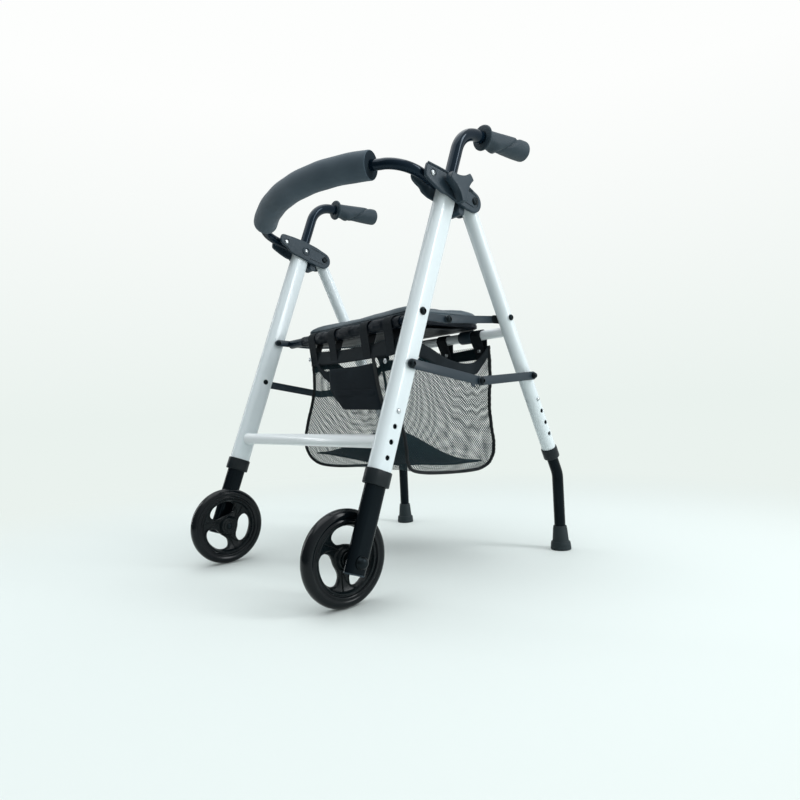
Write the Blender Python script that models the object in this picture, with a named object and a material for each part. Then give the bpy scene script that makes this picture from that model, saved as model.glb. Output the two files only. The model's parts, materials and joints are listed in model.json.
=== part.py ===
"""Two-wheeled folding rollator with a lift-up seat, a mesh basket and a padded backrest.

Metres, +Z up. The wheels are at the front, towards -Y, and the user's left side is +X.
The origin is on the floor, at the middle of the rollator's length and width.
Every shape is drawn for the left side, in a design frame whose Y starts at the wheel axle;
placing a piece shifts it to the object's frame and, for the right side, mirrors it.
"""

import math

import bmesh
import bpy
from mathutils import Vector

LEFT = 1
RIGHT = -1
SIDES = ((LEFT, "left"), (RIGHT, "right"))
X_AXIS = Vector((1.0, 0.0, 0.0))
GAP = 0.0003

# Wheels and feet
WHEEL_RADIUS = 0.0757
WHEEL_X = 0.209
TYRE_HALF_WIDTH = 0.01215
WHEEL_SIDES = 24
RIM_RADIUS = 0.0558
HUB_BORE = 0.0044
WEB_HALF = 0.0032
OPENING_RADIUS = 0.0355
OPENING_REACH = 0.0140
OPENING_HALF_ANGLE = math.radians(43)
# Where each wheel has come to rest, in degrees
WHEEL_TURN = {"left": -37, "right": -13}
AXLE_RADIUS = 0.0040
AXLE_SIDES = 10
FOOT_RADIUS = 0.0205
FOOT_Y = 0.5125
AXLE_Y = (WHEEL_RADIUS - FOOT_Y - FOOT_RADIUS) / 2

# Side frames: both legs of a side stand in the plane x = SIDE_X
SIDE_X = 0.2425
FRONT_LEAN = math.atan(0.3772)
REAR_LEAN = math.atan(0.462)
PIVOT_Y = 0.2771
PIVOT_Z = 0.6632
LEG_LONG = 0.021
LEG_SHORT = 0.01325
LEG_WALL = 0.0015
LEG_BOTTOM_Z = 0.189
EXTENSION_LONG = 0.0185
EXTENSION_SHORT = 0.0105
EXTENSION_TOP_Z = 0.358
EXTENSION_PAST_AXLE = 0.0175
REAR_RADIUS = 0.0138
REAR_WALL = 0.0016
REAR_BOTTOM_Z = 0.1935
TUBE_RADIUS = 0.0111
TUBE_WALL = 0.0015
REAR_TUBE_TOP_Z = 0.343
HOLE_PITCH = 0.0254
HOLE_RADIUS = 0.0043
BUTTON_RADIUS = 0.0039
FRONT_BUTTON_Z = 0.2974
REAR_BUTTON_Z = 0.3076

# Bracket that joins the two legs, the handle and the backrest, in its own directions:
# s runs forward from the rear leg's pivot and rises by BRACKET_RISE, t is square to it, upward
BRACKET_RISE = math.radians(16.7)
PLATE_OUTER_X = (0.2567, 0.2632)
PLATE_INNER_X = (0.2218, 0.2283)
LEG_S = 0.052
SCREW_S = 0.1047
KNOB_X = (0.2640, 0.2835)
KNOB_RADIUS = 0.0225
KNOB_LOBE = 0.0068

# Handle
HANDLE_LOW_Z = 0.50
HANDLE_BEND_Z = 0.7596
HANDLE_BEND_RADIUS = 0.060
GRIP_RISE = math.radians(2.0)
GRIP_START_Y = 0.3265
GRIP_LENGTH = 0.1255

# Backrest, drawn in the plane of x and s
BAR_RADIUS = 0.0095
ARC_RADIUS = 0.456
ARC_FRONT_S = 0.2197
CORNER_RADIUS = 0.060
CORNER_X = 0.183
CORNER_S = 0.116
BAR_END_S = 0.0785
BAR_BUTTON_S = 0.1265
PAD_RADIUS = 0.0255
PAD_HALF_ANGLE = math.radians(24.2)

# Folding links, as (y, z) of their pivots
UPPER_FRONT = (0.1449, 0.4598)
UPPER_MIDDLE = (0.2330, 0.4556)
UPPER_REAR = (0.3696, 0.4630)
LOWER_FRONT = (0.1120, 0.3725)
LOWER_MIDDLE = (0.2726, 0.3436)
LOWER_REAR = (0.4204, 0.3530)
UPPER_FRONT_X = (0.2216, 0.2246)
UPPER_REAR_X = (0.2250, 0.2279)
LOWER_FRONT_X = (0.2586, 0.2612)
LOWER_REAR_X = (0.2616, 0.2642)
UPPER_WIDTH = 0.014
LOWER_WIDTH = 0.016
PIN_RADIUS = 0.003
HEAD_RADIUS = 0.0056
HEAD_THICK = 0.0016

# Cross tubes, seat and basket
CROSSBAR_Z = 0.2504
CROSSBAR_Y = 0.0659
SEAT_TUBE = (0.178, 0.457)
SEAT_TUBE_RADIUS = 0.0095
REAR_CROSS = (0.3815, 0.4395)
REAR_CROSS_RADIUS = 0.0096
SLEEVE_X = (0.117, 0.150)
SLEEVE_RADIUS = 0.0133
SEAT_HALF_WIDTH = 0.178
SEAT_FRONT_Y = 0.197
SEAT_REAR_Y = 0.390
BOARD_Z = (0.4535, 0.4600)
CUSHION_Z = (0.4603, 0.4855)
CLAMP_X = (-0.100, 0.0, 0.100)
CLAMP_WIDTH = 0.030
BASKET_WALL = 0.003
# Basket section at each height: front z, half width, front y, rear y, corner radius,
# how far the rear hangs lower than the front, and how much wider the rear is
BASKET_LEVELS = (
    (0.184, 0.126, 0.208, 0.380, 0.030, 0.011, 0.00),
    (0.191, 0.150, 0.186, 0.400, 0.033, 0.011, 0.00),
    (0.208, 0.161, 0.172, 0.4085, 0.032, 0.008, 0.00),
    (0.238, 0.165, 0.1675, 0.4085, 0.028, 0.003, 0.00),
    (0.290, 0.155, 0.1685, 0.4010, 0.022, 0.000, 0.08),
    (0.345, 0.149, 0.1705, 0.3935, 0.020, 0.000, 0.16),
)
BASKET_TOP = (0.154, 0.1755, 0.3885, 0.020, 0.15)
# The rim's height along Y: high at the front and rear straps, sagging between them
BASKET_RIM = (
    (0.176, 0.430), (0.212, 0.417), (0.2265, 0.4065), (0.265, 0.3975),
    (0.313, 0.384), (0.365, 0.388), (0.388, 0.418),
)
# The slack bag leans towards the left: by how much at the rim, and from which to which height
BASKET_LEAN = 0.014
BASKET_LEAN_Z = (0.250, 0.370)
FRONT_STRAPS_X = (0.055, 0.1270)
REAR_STRAPS_X = (0.060, 0.1560)
STRAP_SHIFT = 0.006
STRAP_WIDTH = 0.025
FRONT_STRAP_TOP = 0.4438
REAR_STRAP_TOP = 0.4255

MATERIALS = {
    "white_tube": ((0.86, 0.88, 0.90), 0.30, 0.0),
    "black_tube": ((0.010, 0.011, 0.013), 0.16, 0.0),
    "dark_plastic": ((0.035, 0.043, 0.050), 0.48, 0.0),
    "foam": ((0.075, 0.092, 0.105), 0.80, 0.0),
    "tyre_rubber": ((0.012, 0.013, 0.014), 0.32, 0.0),
    "foot_rubber": ((0.030, 0.033, 0.036), 0.70, 0.0),
    "steel": ((0.62, 0.63, 0.64), 0.28, 1.0),
    "dark_bolt": ((0.045, 0.045, 0.048), 0.35, 1.0),
    "seat_vinyl": ((0.045, 0.054, 0.062), 0.55, 0.0),
    "mesh_cloth": ((0.24, 0.27, 0.26), 0.85, 0.0),
    "base_board": ((0.020, 0.024, 0.027), 0.75, 0.0),
}


def clear_scene():
    """Remove what a new file starts with."""
    for old in list(bpy.data.objects):
        bpy.data.objects.remove(old, do_unlink=True)


def make_material(name):
    """A plain surface with the part's colour, roughness and metallic value."""
    colour, roughness, metallic = MATERIALS[name]
    material = bpy.data.materials.new(name)
    material.use_nodes = True
    surface = material.node_tree.nodes["Principled BSDF"]
    surface.inputs["Base Color"].default_value = (*colour, 1.0)
    surface.inputs["Roughness"].default_value = roughness
    surface.inputs["Metallic"].default_value = metallic
    material.diffuse_color = (*colour, 1.0)
    return material


def to_object_frame(point):
    """From the design frame to the object's frame."""
    return Vector((point[0], point[1] + AXLE_Y, point[2]))


class Body:
    """A rigid body: an empty on its joint's axis that carries the body's pieces."""

    materials = {}

    def __init__(self, name, pivot, parent=None):
        self.pivot = to_object_frame(pivot)
        self.empty = bpy.data.objects.new(name, None)
        self.empty.empty_display_size = 0.02
        bpy.context.collection.objects.link(self.empty)
        self.empty.location = self.pivot
        if parent:
            self.empty.parent = parent.empty
            self.empty.location = self.pivot - parent.pivot

    def place(self, name, shape, side):
        """Make an object of the shape, mirrored to its side and measured from the pivot."""
        shift = to_object_frame((0.0, 0.0, 0.0))
        for vertex in shape.verts:
            vertex.co = Vector((vertex.co.x * side, vertex.co.y, vertex.co.z)) + shift - self.pivot
        if side < 0:
            bmesh.ops.reverse_faces(shape, faces=shape.faces)
        mesh = bpy.data.meshes.new(name)
        shape.to_mesh(mesh)
        shape.free()
        placed = bpy.data.objects.new(name, mesh)
        bpy.context.collection.objects.link(placed)
        placed.parent = self.empty
        return placed

    def solid(self, name, shape, material, side=LEFT):
        """Add a visible piece."""
        piece = self.place(name, shape, side)
        if material not in Body.materials:
            Body.materials[material] = make_material(material)
        piece.data.materials.append(Body.materials[material])
        piece.data.shade_smooth()
        piece.data.set_sharp_from_angle(angle=math.radians(35))
        return piece

    def change(self, piece, shape, operation, side=LEFT):
        """Cut the shape from a piece, or join it on."""
        tool = self.place(f"{piece.name}_{operation.lower()}_{len(piece.modifiers)}", shape, side)
        tool.hide_render = True
        tool.display_type = "WIRE"
        boolean = piece.modifiers.new(tool.name, "BOOLEAN")
        boolean.operation = operation
        boolean.solver = "EXACT"
        boolean.object = tool

    def cut(self, piece, shape, side=LEFT):
        """Cut the shape from a piece."""
        self.change(piece, shape, "DIFFERENCE", side)

    def join(self, piece, shape, side=LEFT):
        """Join the shape to a piece."""
        self.change(piece, shape, "UNION", side)


def loft(rings, ring_of_rings=False):
    """Skin a list of rings with as many points each; the ends are capped unless they meet."""
    shape = bmesh.new()
    rows = [[shape.verts.new(point) for point in ring] for ring in rings]
    count = len(rows[0])
    pairs = list(zip(rows, rows[1:]))
    if ring_of_rings:
        pairs.append((rows[-1], rows[0]))
    for lower, upper in pairs:
        for i in range(count):
            j = (i + 1) % count
            shape.faces.new((lower[i], lower[j], upper[j], upper[i]))
    if not ring_of_rings:
        shape.faces.new(rows[0][::-1])
        shape.faces.new(rows[-1])
    if shape.calc_volume(signed=True) < 0:
        bmesh.ops.reverse_faces(shape, faces=shape.faces)
    return shape


def circle(radius, sides, turn=0.5):
    """Points of a circle as (a, b), starting a part of a step round."""
    steps = [(i + turn) * 2 * math.pi / sides for i in range(sides)]
    return [(radius * math.cos(step), radius * math.sin(step)) for step in steps]


def flat_oval(half_long, half_short, arc_steps=6):
    """Points of a flat oval as (a, b), long along a."""
    straight = half_long - half_short
    points = []
    for sign, start in ((1, -90), (-1, 90)):
        for i in range(arc_steps + 1):
            angle = math.radians(start + 180 * i / arc_steps)
            points.append((sign * straight + half_short * math.cos(angle), half_short * math.sin(angle)))
    return points


def ring_at(centre, section, first, second):
    """Place a section's points in the plane of two directions."""
    return [centre + first * a + second * b for a, b in section]


def turned(profile, centre, axis, sides, turn=0.5, bored=False):
    """Turn a profile of (distance along the axis, radius) round the axis."""
    centre, axis = Vector(centre), Vector(axis).normalized()
    first = axis.orthogonal().normalized() if abs(axis.x) < 0.9 else Vector((0, 1, 0))
    second = axis.cross(first)
    rings = [
        ring_at(centre + axis * along, circle(radius, sides, turn), first, second)
        for along, radius in profile
    ]
    return loft(rings, bored)


def rod(x_range, y, z, radius, sides=8):
    """A round bar along X."""
    profile = ((x_range[0], radius), (x_range[1], radius))
    return turned(profile, (0, y, z), X_AXIS, sides)


def add_shape(shape, other):
    """Put a second shape into the first; the two stand clear of each other."""
    spare = bpy.data.meshes.new("spare")
    other.to_mesh(spare)
    other.free()
    shape.from_mesh(spare)
    bpy.data.meshes.remove(spare)
    return shape


def shapes(*items):
    """Several shapes, clear of each other, as one."""
    first, *others = items
    for other in others:
        add_shape(first, other)
    return first


def arc_points(centre, radius, start, end, steps, skip_first=True):
    """Points of an arc as (a, b), angles in degrees."""
    found = []
    for i in range(1 if skip_first else 0, steps + 1):
        angle = math.radians(start + (end - start) * i / steps)
        found.append((centre[0] + radius * math.cos(angle), centre[1] + radius * math.sin(angle)))
    return found


def inset(outline, distance):
    """The outline drawn in by a distance, for a chamfered edge; points run anticlockwise."""
    moved = []
    for i, (a, b) in enumerate(outline):
        before = Vector((a, b)) - Vector(outline[i - 1])
        after = Vector(outline[(i + 1) % len(outline)]) - Vector((a, b))
        along = before.normalized() + after.normalized()
        along.normalize()
        moved.append((a - along.y * distance, b + along.x * distance))
    return moved


def slab(outline, x_range, to_point, chamfer=0.0):
    """A plate across X whose outline is drawn in the directions of to_point(x, a, b)."""
    x0, x1 = x_range
    if chamfer:
        small = inset(outline, chamfer)
        levels = ((x0, small), (x0 + chamfer, outline), (x1 - chamfer, outline), (x1, small))
    else:
        levels = ((x0, outline), (x1, outline))
    return loft([[to_point(x, a, b) for a, b in section] for x, section in levels])


def side_point(x, y, z):
    """A point given directly as x, y and z."""
    return Vector((x, y, z))


def bracket_point(x, s, t):
    """A point given in the bracket's directions."""
    rise = BRACKET_RISE
    y = PIVOT_Y - s * math.cos(rise) + t * math.sin(rise)
    z = PIVOT_Z + s * math.sin(rise) + t * math.cos(rise)
    return Vector((x, y, z))


FRONT_UP = Vector((0, math.sin(FRONT_LEAN), math.cos(FRONT_LEAN)))
FRONT_ACROSS = Vector((0, math.cos(FRONT_LEAN), -math.sin(FRONT_LEAN)))
REAR_UP = Vector((0, -math.sin(REAR_LEAN), math.cos(REAR_LEAN)))
REAR_ACROSS = Vector((0, math.cos(REAR_LEAN), math.sin(REAR_LEAN)))


def front_axis(z):
    """The point of the front leg's axis at a height; it passes through the wheel's axle."""
    return Vector((SIDE_X, math.tan(FRONT_LEAN) * (z - WHEEL_RADIUS), z))


def rear_axis(z):
    """The point of the rear leg's axis at a height; it passes through the bracket's pivot."""
    return Vector((SIDE_X, PIVOT_Y + math.tan(REAR_LEAN) * (PIVOT_Z - z), z))


def front_ring(z, half_long, half_short):
    """A flat-oval ring square to the front leg."""
    return ring_at(front_axis(z), flat_oval(half_long, half_short), FRONT_ACROSS, X_AXIS)


def hole_heights(top_z, lean):
    """Heights of the four holes that a snap button can stand in."""
    return [top_z - i * HOLE_PITCH * math.cos(lean) for i in range(4)]


def front_leg(body, word, side):
    """Flat-oval tube with four snap-button holes and the holes of the links and the knob."""
    top = bracket_point(SIDE_X, LEG_S, 0.012).z
    outer = (LEG_LONG, LEG_SHORT)
    inner = (LEG_LONG - LEG_WALL, LEG_SHORT - LEG_WALL)
    rings = [
        front_ring(LEG_BOTTOM_Z, *outer),
        front_ring(top, *outer),
        front_ring(top, *inner),
        front_ring(LEG_BOTTOM_Z, *inner),
    ]
    leg = body.solid(f"front_leg_{word}", loft(rings, True), "white_tube", side)
    outside = (SIDE_X + 0.006, SIDE_X + 0.020)
    through = (SIDE_X - 0.020, SIDE_X + 0.020)
    heights = hole_heights(FRONT_BUTTON_Z, FRONT_LEAN)
    holes = [rod(outside, front_axis(z).y, z, HOLE_RADIUS) for z in heights]
    pins = [rod(through, *point, PIN_RADIUS + GAP) for point in (UPPER_FRONT, LOWER_FRONT)]
    knob = bracket_point(SIDE_X, LEG_S, 0.0)
    pins.append(rod(outside, knob.y, knob.z, PIN_RADIUS + GAP))
    body.cut(leg, shapes(*holes, *pins), side)


def leg_bushing(body, word, side):
    """Plastic guide in the top of the front leg, bored for the handle tube."""
    low = bracket_point(SIDE_X, LEG_S, 0.0).z
    seat = bracket_point(SIDE_X, LEG_S, 0.0124).z
    top = bracket_point(SIDE_X, LEG_S, 0.0165).z
    plug = (LEG_LONG - LEG_WALL - GAP, LEG_SHORT - LEG_WALL - GAP)
    lip = (LEG_LONG, LEG_SHORT)
    rings = [
        front_ring(low + 0.004, *plug),
        front_ring(seat, *plug),
        front_ring(seat, *lip),
        front_ring(top, *lip),
    ]
    bushing = body.solid(f"leg_bushing_{word}", loft(rings), "dark_plastic", side)
    bore = [(-0.03, TUBE_RADIUS + GAP), (0.03, TUBE_RADIUS + GAP)]
    body.cut(bushing, turned(bore, front_axis(seat), FRONT_UP, 16), side)


def front_collar(body, word, side):
    """Collar at the leg's foot, with a lip round the extension."""
    low_z, lip_z, top_z = 0.1845, 0.1880, 0.2070
    rings = [
        front_ring(low_z, 0.0228, 0.0140),
        front_ring(low_z + 0.001, 0.0236, 0.0148),
        front_ring(top_z - 0.001, 0.0236, 0.0148),
        front_ring(top_z, 0.0228, 0.0140),
        front_ring(top_z, LEG_LONG + GAP, LEG_SHORT + GAP),
        front_ring(lip_z, LEG_LONG + GAP, LEG_SHORT + GAP),
        front_ring(lip_z, EXTENSION_LONG + 0.0005, EXTENSION_SHORT + 0.0005),
        front_ring(low_z, EXTENSION_LONG + 0.0005, EXTENSION_SHORT + 0.0005),
    ]
    body.solid(f"front_collar_{word}", loft(rings, True), "dark_plastic", side)


def front_crossbar(body):
    """Welded tube between the front legs, with a bead at each end."""
    end = SIDE_X - LEG_SHORT - GAP
    bead = 0.0018
    profile = (
        (-end, TUBE_RADIUS),
        (-end + 0.0008, TUBE_RADIUS + bead),
        (-end + 0.0030, TUBE_RADIUS + bead),
        (-end + 0.0045, TUBE_RADIUS),
        (end - 0.0045, TUBE_RADIUS),
        (end - 0.0030, TUBE_RADIUS + bead),
        (end - 0.0008, TUBE_RADIUS + bead),
        (end, TUBE_RADIUS),
    )
    bar = turned(profile, (0, CROSSBAR_Y, CROSSBAR_Z), X_AXIS, 14)
    body.solid("front_crossbar", bar, "white_tube")


def bracket_outline():
    """Outline of a bracket plate: round rear end, full middle, slim front, arch over the leg."""
    points = arc_points((0.0020, -0.0020), 0.0188, 95, 262, 7, skip_first=False)
    points += [(0.018, -0.0224), (0.0345, -0.0216), (0.050, -0.0200), (0.063, -0.0191)]
    points += [(0.0775, -0.0216), (0.094, -0.0190), (0.110, -0.0146), (0.1185, -0.0103)]
    points += [(0.1212, 0.0000), (0.1195, 0.0100), (0.1130, 0.0147), (0.090, 0.0185)]
    points += [(0.060, 0.0210), (0.028, 0.0205)]
    return points


def bracket_slab(x_range, outline, chamfer=0.0):
    """A plate drawn in the bracket's directions."""
    return slab(outline, x_range, bracket_point, chamfer)


def bracket_groove(x_range):
    """A U-shaped groove round the rear half of a plate."""
    outer = arc_points((0.004, -0.001), 0.0128, 90, 270, 8, skip_first=False)
    inner = arc_points((0.004, -0.001), 0.0104, 270, 90, 8, skip_first=False)
    outline = [(0.040, 0.0132), *outer, (0.040, -0.0150), (0.040, -0.0124), *inner, (0.040, 0.0108)]
    return bracket_slab(x_range, outline)


def bracket_rod(x_range, s, radius, sides=10):
    """A round bar along X at a place along the bracket."""
    centre = bracket_point(0.0, s, 0.0)
    return rod(x_range, centre.y, centre.z, radius, sides)


def bracket_outer(body, word, side):
    """Outer plate, with holes for the pivot, the knob's bolt and the front screw."""
    plate = bracket_slab(PLATE_OUTER_X, bracket_outline(), 0.0012)
    piece = body.solid(f"bracket_outer_{word}", plate, "dark_plastic", side)
    x0, x1 = PLATE_OUTER_X
    through = (x0 - 0.01, x1 + 0.01)
    holes = [bracket_rod(through, s, 0.0035 + GAP) for s in (0.0, LEG_S, SCREW_S)]
    body.cut(piece, shapes(*holes), side)
    body.cut(piece, bracket_groove((x1 - 0.0009, x1 + 0.01)), side)


def bracket_inner(body, word, side):
    """Inner plate with its ringed boss and the front screw, which passes through both plates."""
    x0, x1 = PLATE_INNER_X
    plate = bracket_slab(PLATE_INNER_X, bracket_outline(), 0.0012)
    piece = body.solid(f"bracket_inner_{word}", plate, "dark_plastic", side)
    body.cut(piece, bracket_rod((x0 - 0.01, x1 + 0.01), 0.0, 0.0035 + GAP), side)
    body.cut(piece, bracket_groove((x0 - 0.01, x0 + 0.0009)), side)
    centre = bracket_point(0.0, LEG_S, 0.0)
    boss = ((x0 + 0.001, 0.0095), (x0 - 0.0016, 0.0088), (x0 - 0.0016, 0.0066), (x0 - 0.0002, 0.0062))
    screw_head = ((x0 - 0.0002, 0.0042), (x0 - 0.0022, 0.0038))
    body.join(piece, turned((*boss, *screw_head), (0, centre.y, centre.z), X_AXIS, 12), side)
    screw = bracket_point(0.0, SCREW_S, 0.0)
    far = PLATE_OUTER_X[1] + GAP
    profile = (
        (x0 - 0.0018, 0.0030),
        (x0 - 0.0008, 0.0048),
        (x0 + 0.0010, 0.0048),
        (x0 + 0.0010, PIN_RADIUS),
        (far, PIN_RADIUS),
        (far, 0.0048),
        (far + 0.0012, 0.0048),
        (far + 0.0022, 0.0030),
    )
    body.join(piece, turned(profile, (0, screw.y, screw.z), X_AXIS, 8), side)


def stop_wedge(body, word, side):
    """Fan-shaped stop between the legs, which the rear leg meets when the frame is folded."""
    outline = [(0.0190, -0.0060), (0.0140, -0.0300), (0.0175, -0.0335), (0.0230, -0.0350)]
    outline += [(0.0285, -0.0335), (0.0300, -0.0290), (0.0290, -0.0060)]
    x_range = (PLATE_INNER_X[1] + GAP, PLATE_OUTER_X[0] - GAP)
    body.solid(f"stop_wedge_{word}", bracket_slab(x_range, outline, 0.0010), "dark_plastic", side)


def backrest_path():
    """The bar's centre line as (x, s), from the left bracket round to the right one."""
    reach = math.degrees(math.atan2(CORNER_S - ARC_FRONT_S + ARC_RADIUS, CORNER_X))
    half = [(CORNER_X + CORNER_RADIUS, BAR_END_S), (CORNER_X + CORNER_RADIUS, CORNER_S)]
    half += arc_points((CORNER_X, CORNER_S), CORNER_RADIUS, 0, reach, 5)
    centre = (0.0, ARC_FRONT_S - ARC_RADIUS)
    arc = arc_points(centre, ARC_RADIUS, reach, 180 - reach, 12)[:-1]
    return half + arc + [(-x, s) for x, s in reversed(half)]


def swept(path, normal, radii, sides, bore=None):
    """Sweep a circle of the given radii along a flat path; the normal is square to the path."""
    points = [Vector(point) for point in path]
    outer, inner = [], []
    for i, point in enumerate(points):
        before = points[max(i - 1, 0)]
        after = points[min(i + 1, len(points) - 1)]
        back = (point - before).normalized() if i else (after - point).normalized()
        ahead = (after - point).normalized() if i < len(points) - 1 else back
        along = (back + ahead).normalized()
        stretch = 1 / max(along.dot(ahead), 0.5)
        sideways = along.cross(normal) * stretch
        outer.append(ring_at(point, circle(radii[i], sides), normal, sideways))
        if bore:
            inner.append(ring_at(point, circle(bore, sides), normal, sideways))
    if bore:
        return loft(outer + inner[::-1], True)
    return loft(outer)


BRACKET_NORMAL = Vector((0, math.sin(BRACKET_RISE), math.cos(BRACKET_RISE)))


def backrest_bar(body):
    """Curved bar clamped in both brackets, with a stop button where it leaves them."""
    path = [bracket_point(x, s, 0.0) for x, s in backrest_path()]
    tube = swept(path, BRACKET_NORMAL, [BAR_RADIUS] * len(path), 10)
    bar = body.solid("backrest_bar", tube, "black_tube")
    for side, _ in SIDES:
        profile = ((-0.004, 0.0028), (0.0014, 0.0028), (0.0022, 0.0016))
        inner_face = CORNER_X + CORNER_RADIUS - BAR_RADIUS
        button = turned(profile, bracket_point(inner_face + 0.0006, BAR_BUTTON_S, 0.0), -X_AXIS, 8)
        body.join(bar, button, side)
        body.cut(bar, bracket_rod((SIDE_X - 0.02, SIDE_X + 0.02), SCREW_S, PIN_RADIUS + GAP), side)


def backrest_pad(body):
    """Foam sleeve on the middle of the bar, with drawn-in ends."""
    steps = 10
    centre_s = ARC_FRONT_S - ARC_RADIUS
    angles = [PAD_HALF_ANGLE * (2 * i / steps - 1) for i in range(steps + 1)]
    ease = math.radians(0.5)
    angles = [angles[0], angles[0] + ease, *angles[1:-1], angles[-1] - ease, angles[-1]]
    on_arc = [(ARC_RADIUS * math.sin(a), centre_s + ARC_RADIUS * math.cos(a)) for a in angles]
    path = [bracket_point(x, s, 0.0) for x, s in on_arc]
    radii = [PAD_RADIUS - 0.004] + [PAD_RADIUS] * (len(path) - 2) + [PAD_RADIUS - 0.004]
    sleeve = swept(path, BRACKET_NORMAL, radii, 16, bore=0.0112)
    body.solid("backrest_pad", sleeve, "foam")


def handle_path():
    """Centre line of the handle tube: up the leg, over the bend and back into the grip."""
    start = front_axis(HANDLE_LOW_Z)
    bend = front_axis(HANDLE_BEND_Z)
    centre = bend + FRONT_ACROSS * HANDLE_BEND_RADIUS
    steps = 6
    first = math.pi - FRONT_LEAN
    last = math.pi / 2 + GRIP_RISE
    points = [start]
    for i in range(steps + 1):
        angle = first + (last - first) * i / steps
        points.append(centre + Vector((0, math.cos(angle), math.sin(angle))) * HANDLE_BEND_RADIUS)
    grip_along = Vector((0, math.cos(GRIP_RISE), math.sin(GRIP_RISE)))
    end_y = GRIP_START_Y + GRIP_LENGTH - 0.012
    points.append(points[-1] + grip_along * ((end_y - points[-1].y) / grip_along.y))
    return points


def handle_tube(body, word, side):
    """Bent tube that telescopes in the front leg."""
    path = handle_path()
    tube = swept(path, X_AXIS, [TUBE_RADIUS] * len(path), 12, bore=TUBE_RADIUS - TUBE_WALL)
    body.solid(f"handle_tube_{word}", tube, "black_tube", side)


def grip_radius(along, angle):
    """Radius of the moulded grip at a place along it and an angle round it.

    A palm swell and a finger bump are parted by a groove that winds from below the thumb
    to the top of the end.
    """
    share = along / GRIP_LENGTH
    radius = 0.0166 + 0.0032 * share
    bump = math.exp(-((along - 0.038) / 0.011) ** 2) * max(0.0, -math.sin(angle)) ** 2
    radius += 0.0052 * bump
    groove_angle = -math.pi / 2 + math.pi * 0.95 * min(1.0, max(0.0, (along - 0.030) / 0.050))
    off = abs((angle - groove_angle + math.pi) % (2 * math.pi) - math.pi)
    depth = 0.0016 * min(1.0, max(0.0, (along - 0.032) / 0.008))
    return radius - depth * math.exp(-(off / 0.30) ** 2)


def handle_grip(body, word, side):
    """Hand grip with a thumb flange, pushed on the tube's end."""
    path = handle_path()
    along = (path[-1] - path[-2]).normalized()
    up = along.cross(-X_AXIS)
    start = path[-2] + along * ((GRIP_START_Y - path[-2].y) / along.y)
    sides = 16
    angles = [(i + 0.5) * 2 * math.pi / sides for i in range(sides)]

    def ring(distance, radius_of):
        return [
            start + along * distance
            + (X_AXIS * math.cos(angle) + up * math.sin(angle)) * radius_of(angle)
            for angle in angles
        ]

    bore = TUBE_RADIUS + GAP + 0.0002
    stations = (0.012, 0.022, 0.031, 0.038, 0.046, 0.058, 0.072, 0.090, 0.108, 0.120)
    rings = [ring(GRIP_LENGTH - 0.008, lambda _: bore), ring(0.0, lambda _: bore)]
    rings += [ring(0.0, lambda _: 0.0195), ring(0.0015, lambda _: 0.0228), ring(0.0045, lambda _: 0.0232)]
    rings += [ring(0.0070, lambda _: 0.0200)]
    rings += [ring(at, lambda angle, at=at: grip_radius(at, angle)) for at in stations]
    rings += [ring(GRIP_LENGTH, lambda angle: grip_radius(GRIP_LENGTH, angle) - 0.0035)]
    body.solid(f"handle_grip_{word}", loft(rings), "dark_plastic", side)


def lock_knob(body, word, side):
    """Three-lobed knob whose bolt bears on the handle tube."""
    x0, x1 = KNOB_X
    count = 24

    def lobed(scale, shrink=0.0):
        points = []
        for i in range(count):
            angle = 2 * math.pi * i / count
            radius = scale * (KNOB_RADIUS + KNOB_LOBE * math.cos(3 * angle)) - shrink
            points.append((LEG_S + radius * math.cos(angle), radius * math.sin(angle)))
        return points

    def round_section(radius):
        angles = [2 * math.pi * i / count for i in range(count)]
        return [(LEG_S + radius * math.cos(a), radius * math.sin(a)) for a in angles]

    levels = [
        (x0, round_section(0.0105)),
        (x0 + 0.0035, round_section(0.0120)),
        (x0 + 0.0050, lobed(0.94)),
        (x0 + 0.0070, lobed(1.0)),
        (x1 - 0.0035, lobed(1.0)),
        (x1, lobed(0.94, 0.0016)),
        (x1, round_section(0.0085)),
        (x1 - 0.0060, round_section(0.0075)),
    ]
    shape = loft([[bracket_point(x, s, t) for s, t in section] for x, section in levels])
    knob = body.solid(f"lock_knob_{word}", shape, "dark_plastic", side)
    tip = SIDE_X + TUBE_RADIUS + GAP
    body.join(knob, bracket_rod((tip, x0 + 0.004), LEG_S, PIN_RADIUS, 10), side)


def front_extension(body, word, side):
    """Flat-oval leg that telescopes in the front leg and carries the wheel."""
    foot = WHEEL_RADIUS - EXTENSION_PAST_AXLE * math.cos(FRONT_LEAN)
    outer = (EXTENSION_LONG, EXTENSION_SHORT)
    inner = (EXTENSION_LONG - LEG_WALL, EXTENSION_SHORT - LEG_WALL)
    rings = [
        front_ring(foot, *outer),
        front_ring(EXTENSION_TOP_Z, *outer),
        front_ring(EXTENSION_TOP_Z, *inner),
        front_ring(foot, *inner),
    ]
    piece = body.solid(f"front_extension_{word}", loft(rings, True), "black_tube", side)
    outside = (SIDE_X + 0.004, SIDE_X + 0.020)
    button = rod(outside, front_axis(FRONT_BUTTON_Z).y, FRONT_BUTTON_Z, HOLE_RADIUS)
    axle = rod((SIDE_X - 0.020, SIDE_X + 0.020), 0.0, WHEEL_RADIUS, AXLE_RADIUS + GAP, AXLE_SIDES)
    body.cut(piece, shapes(button, axle), side)


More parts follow.
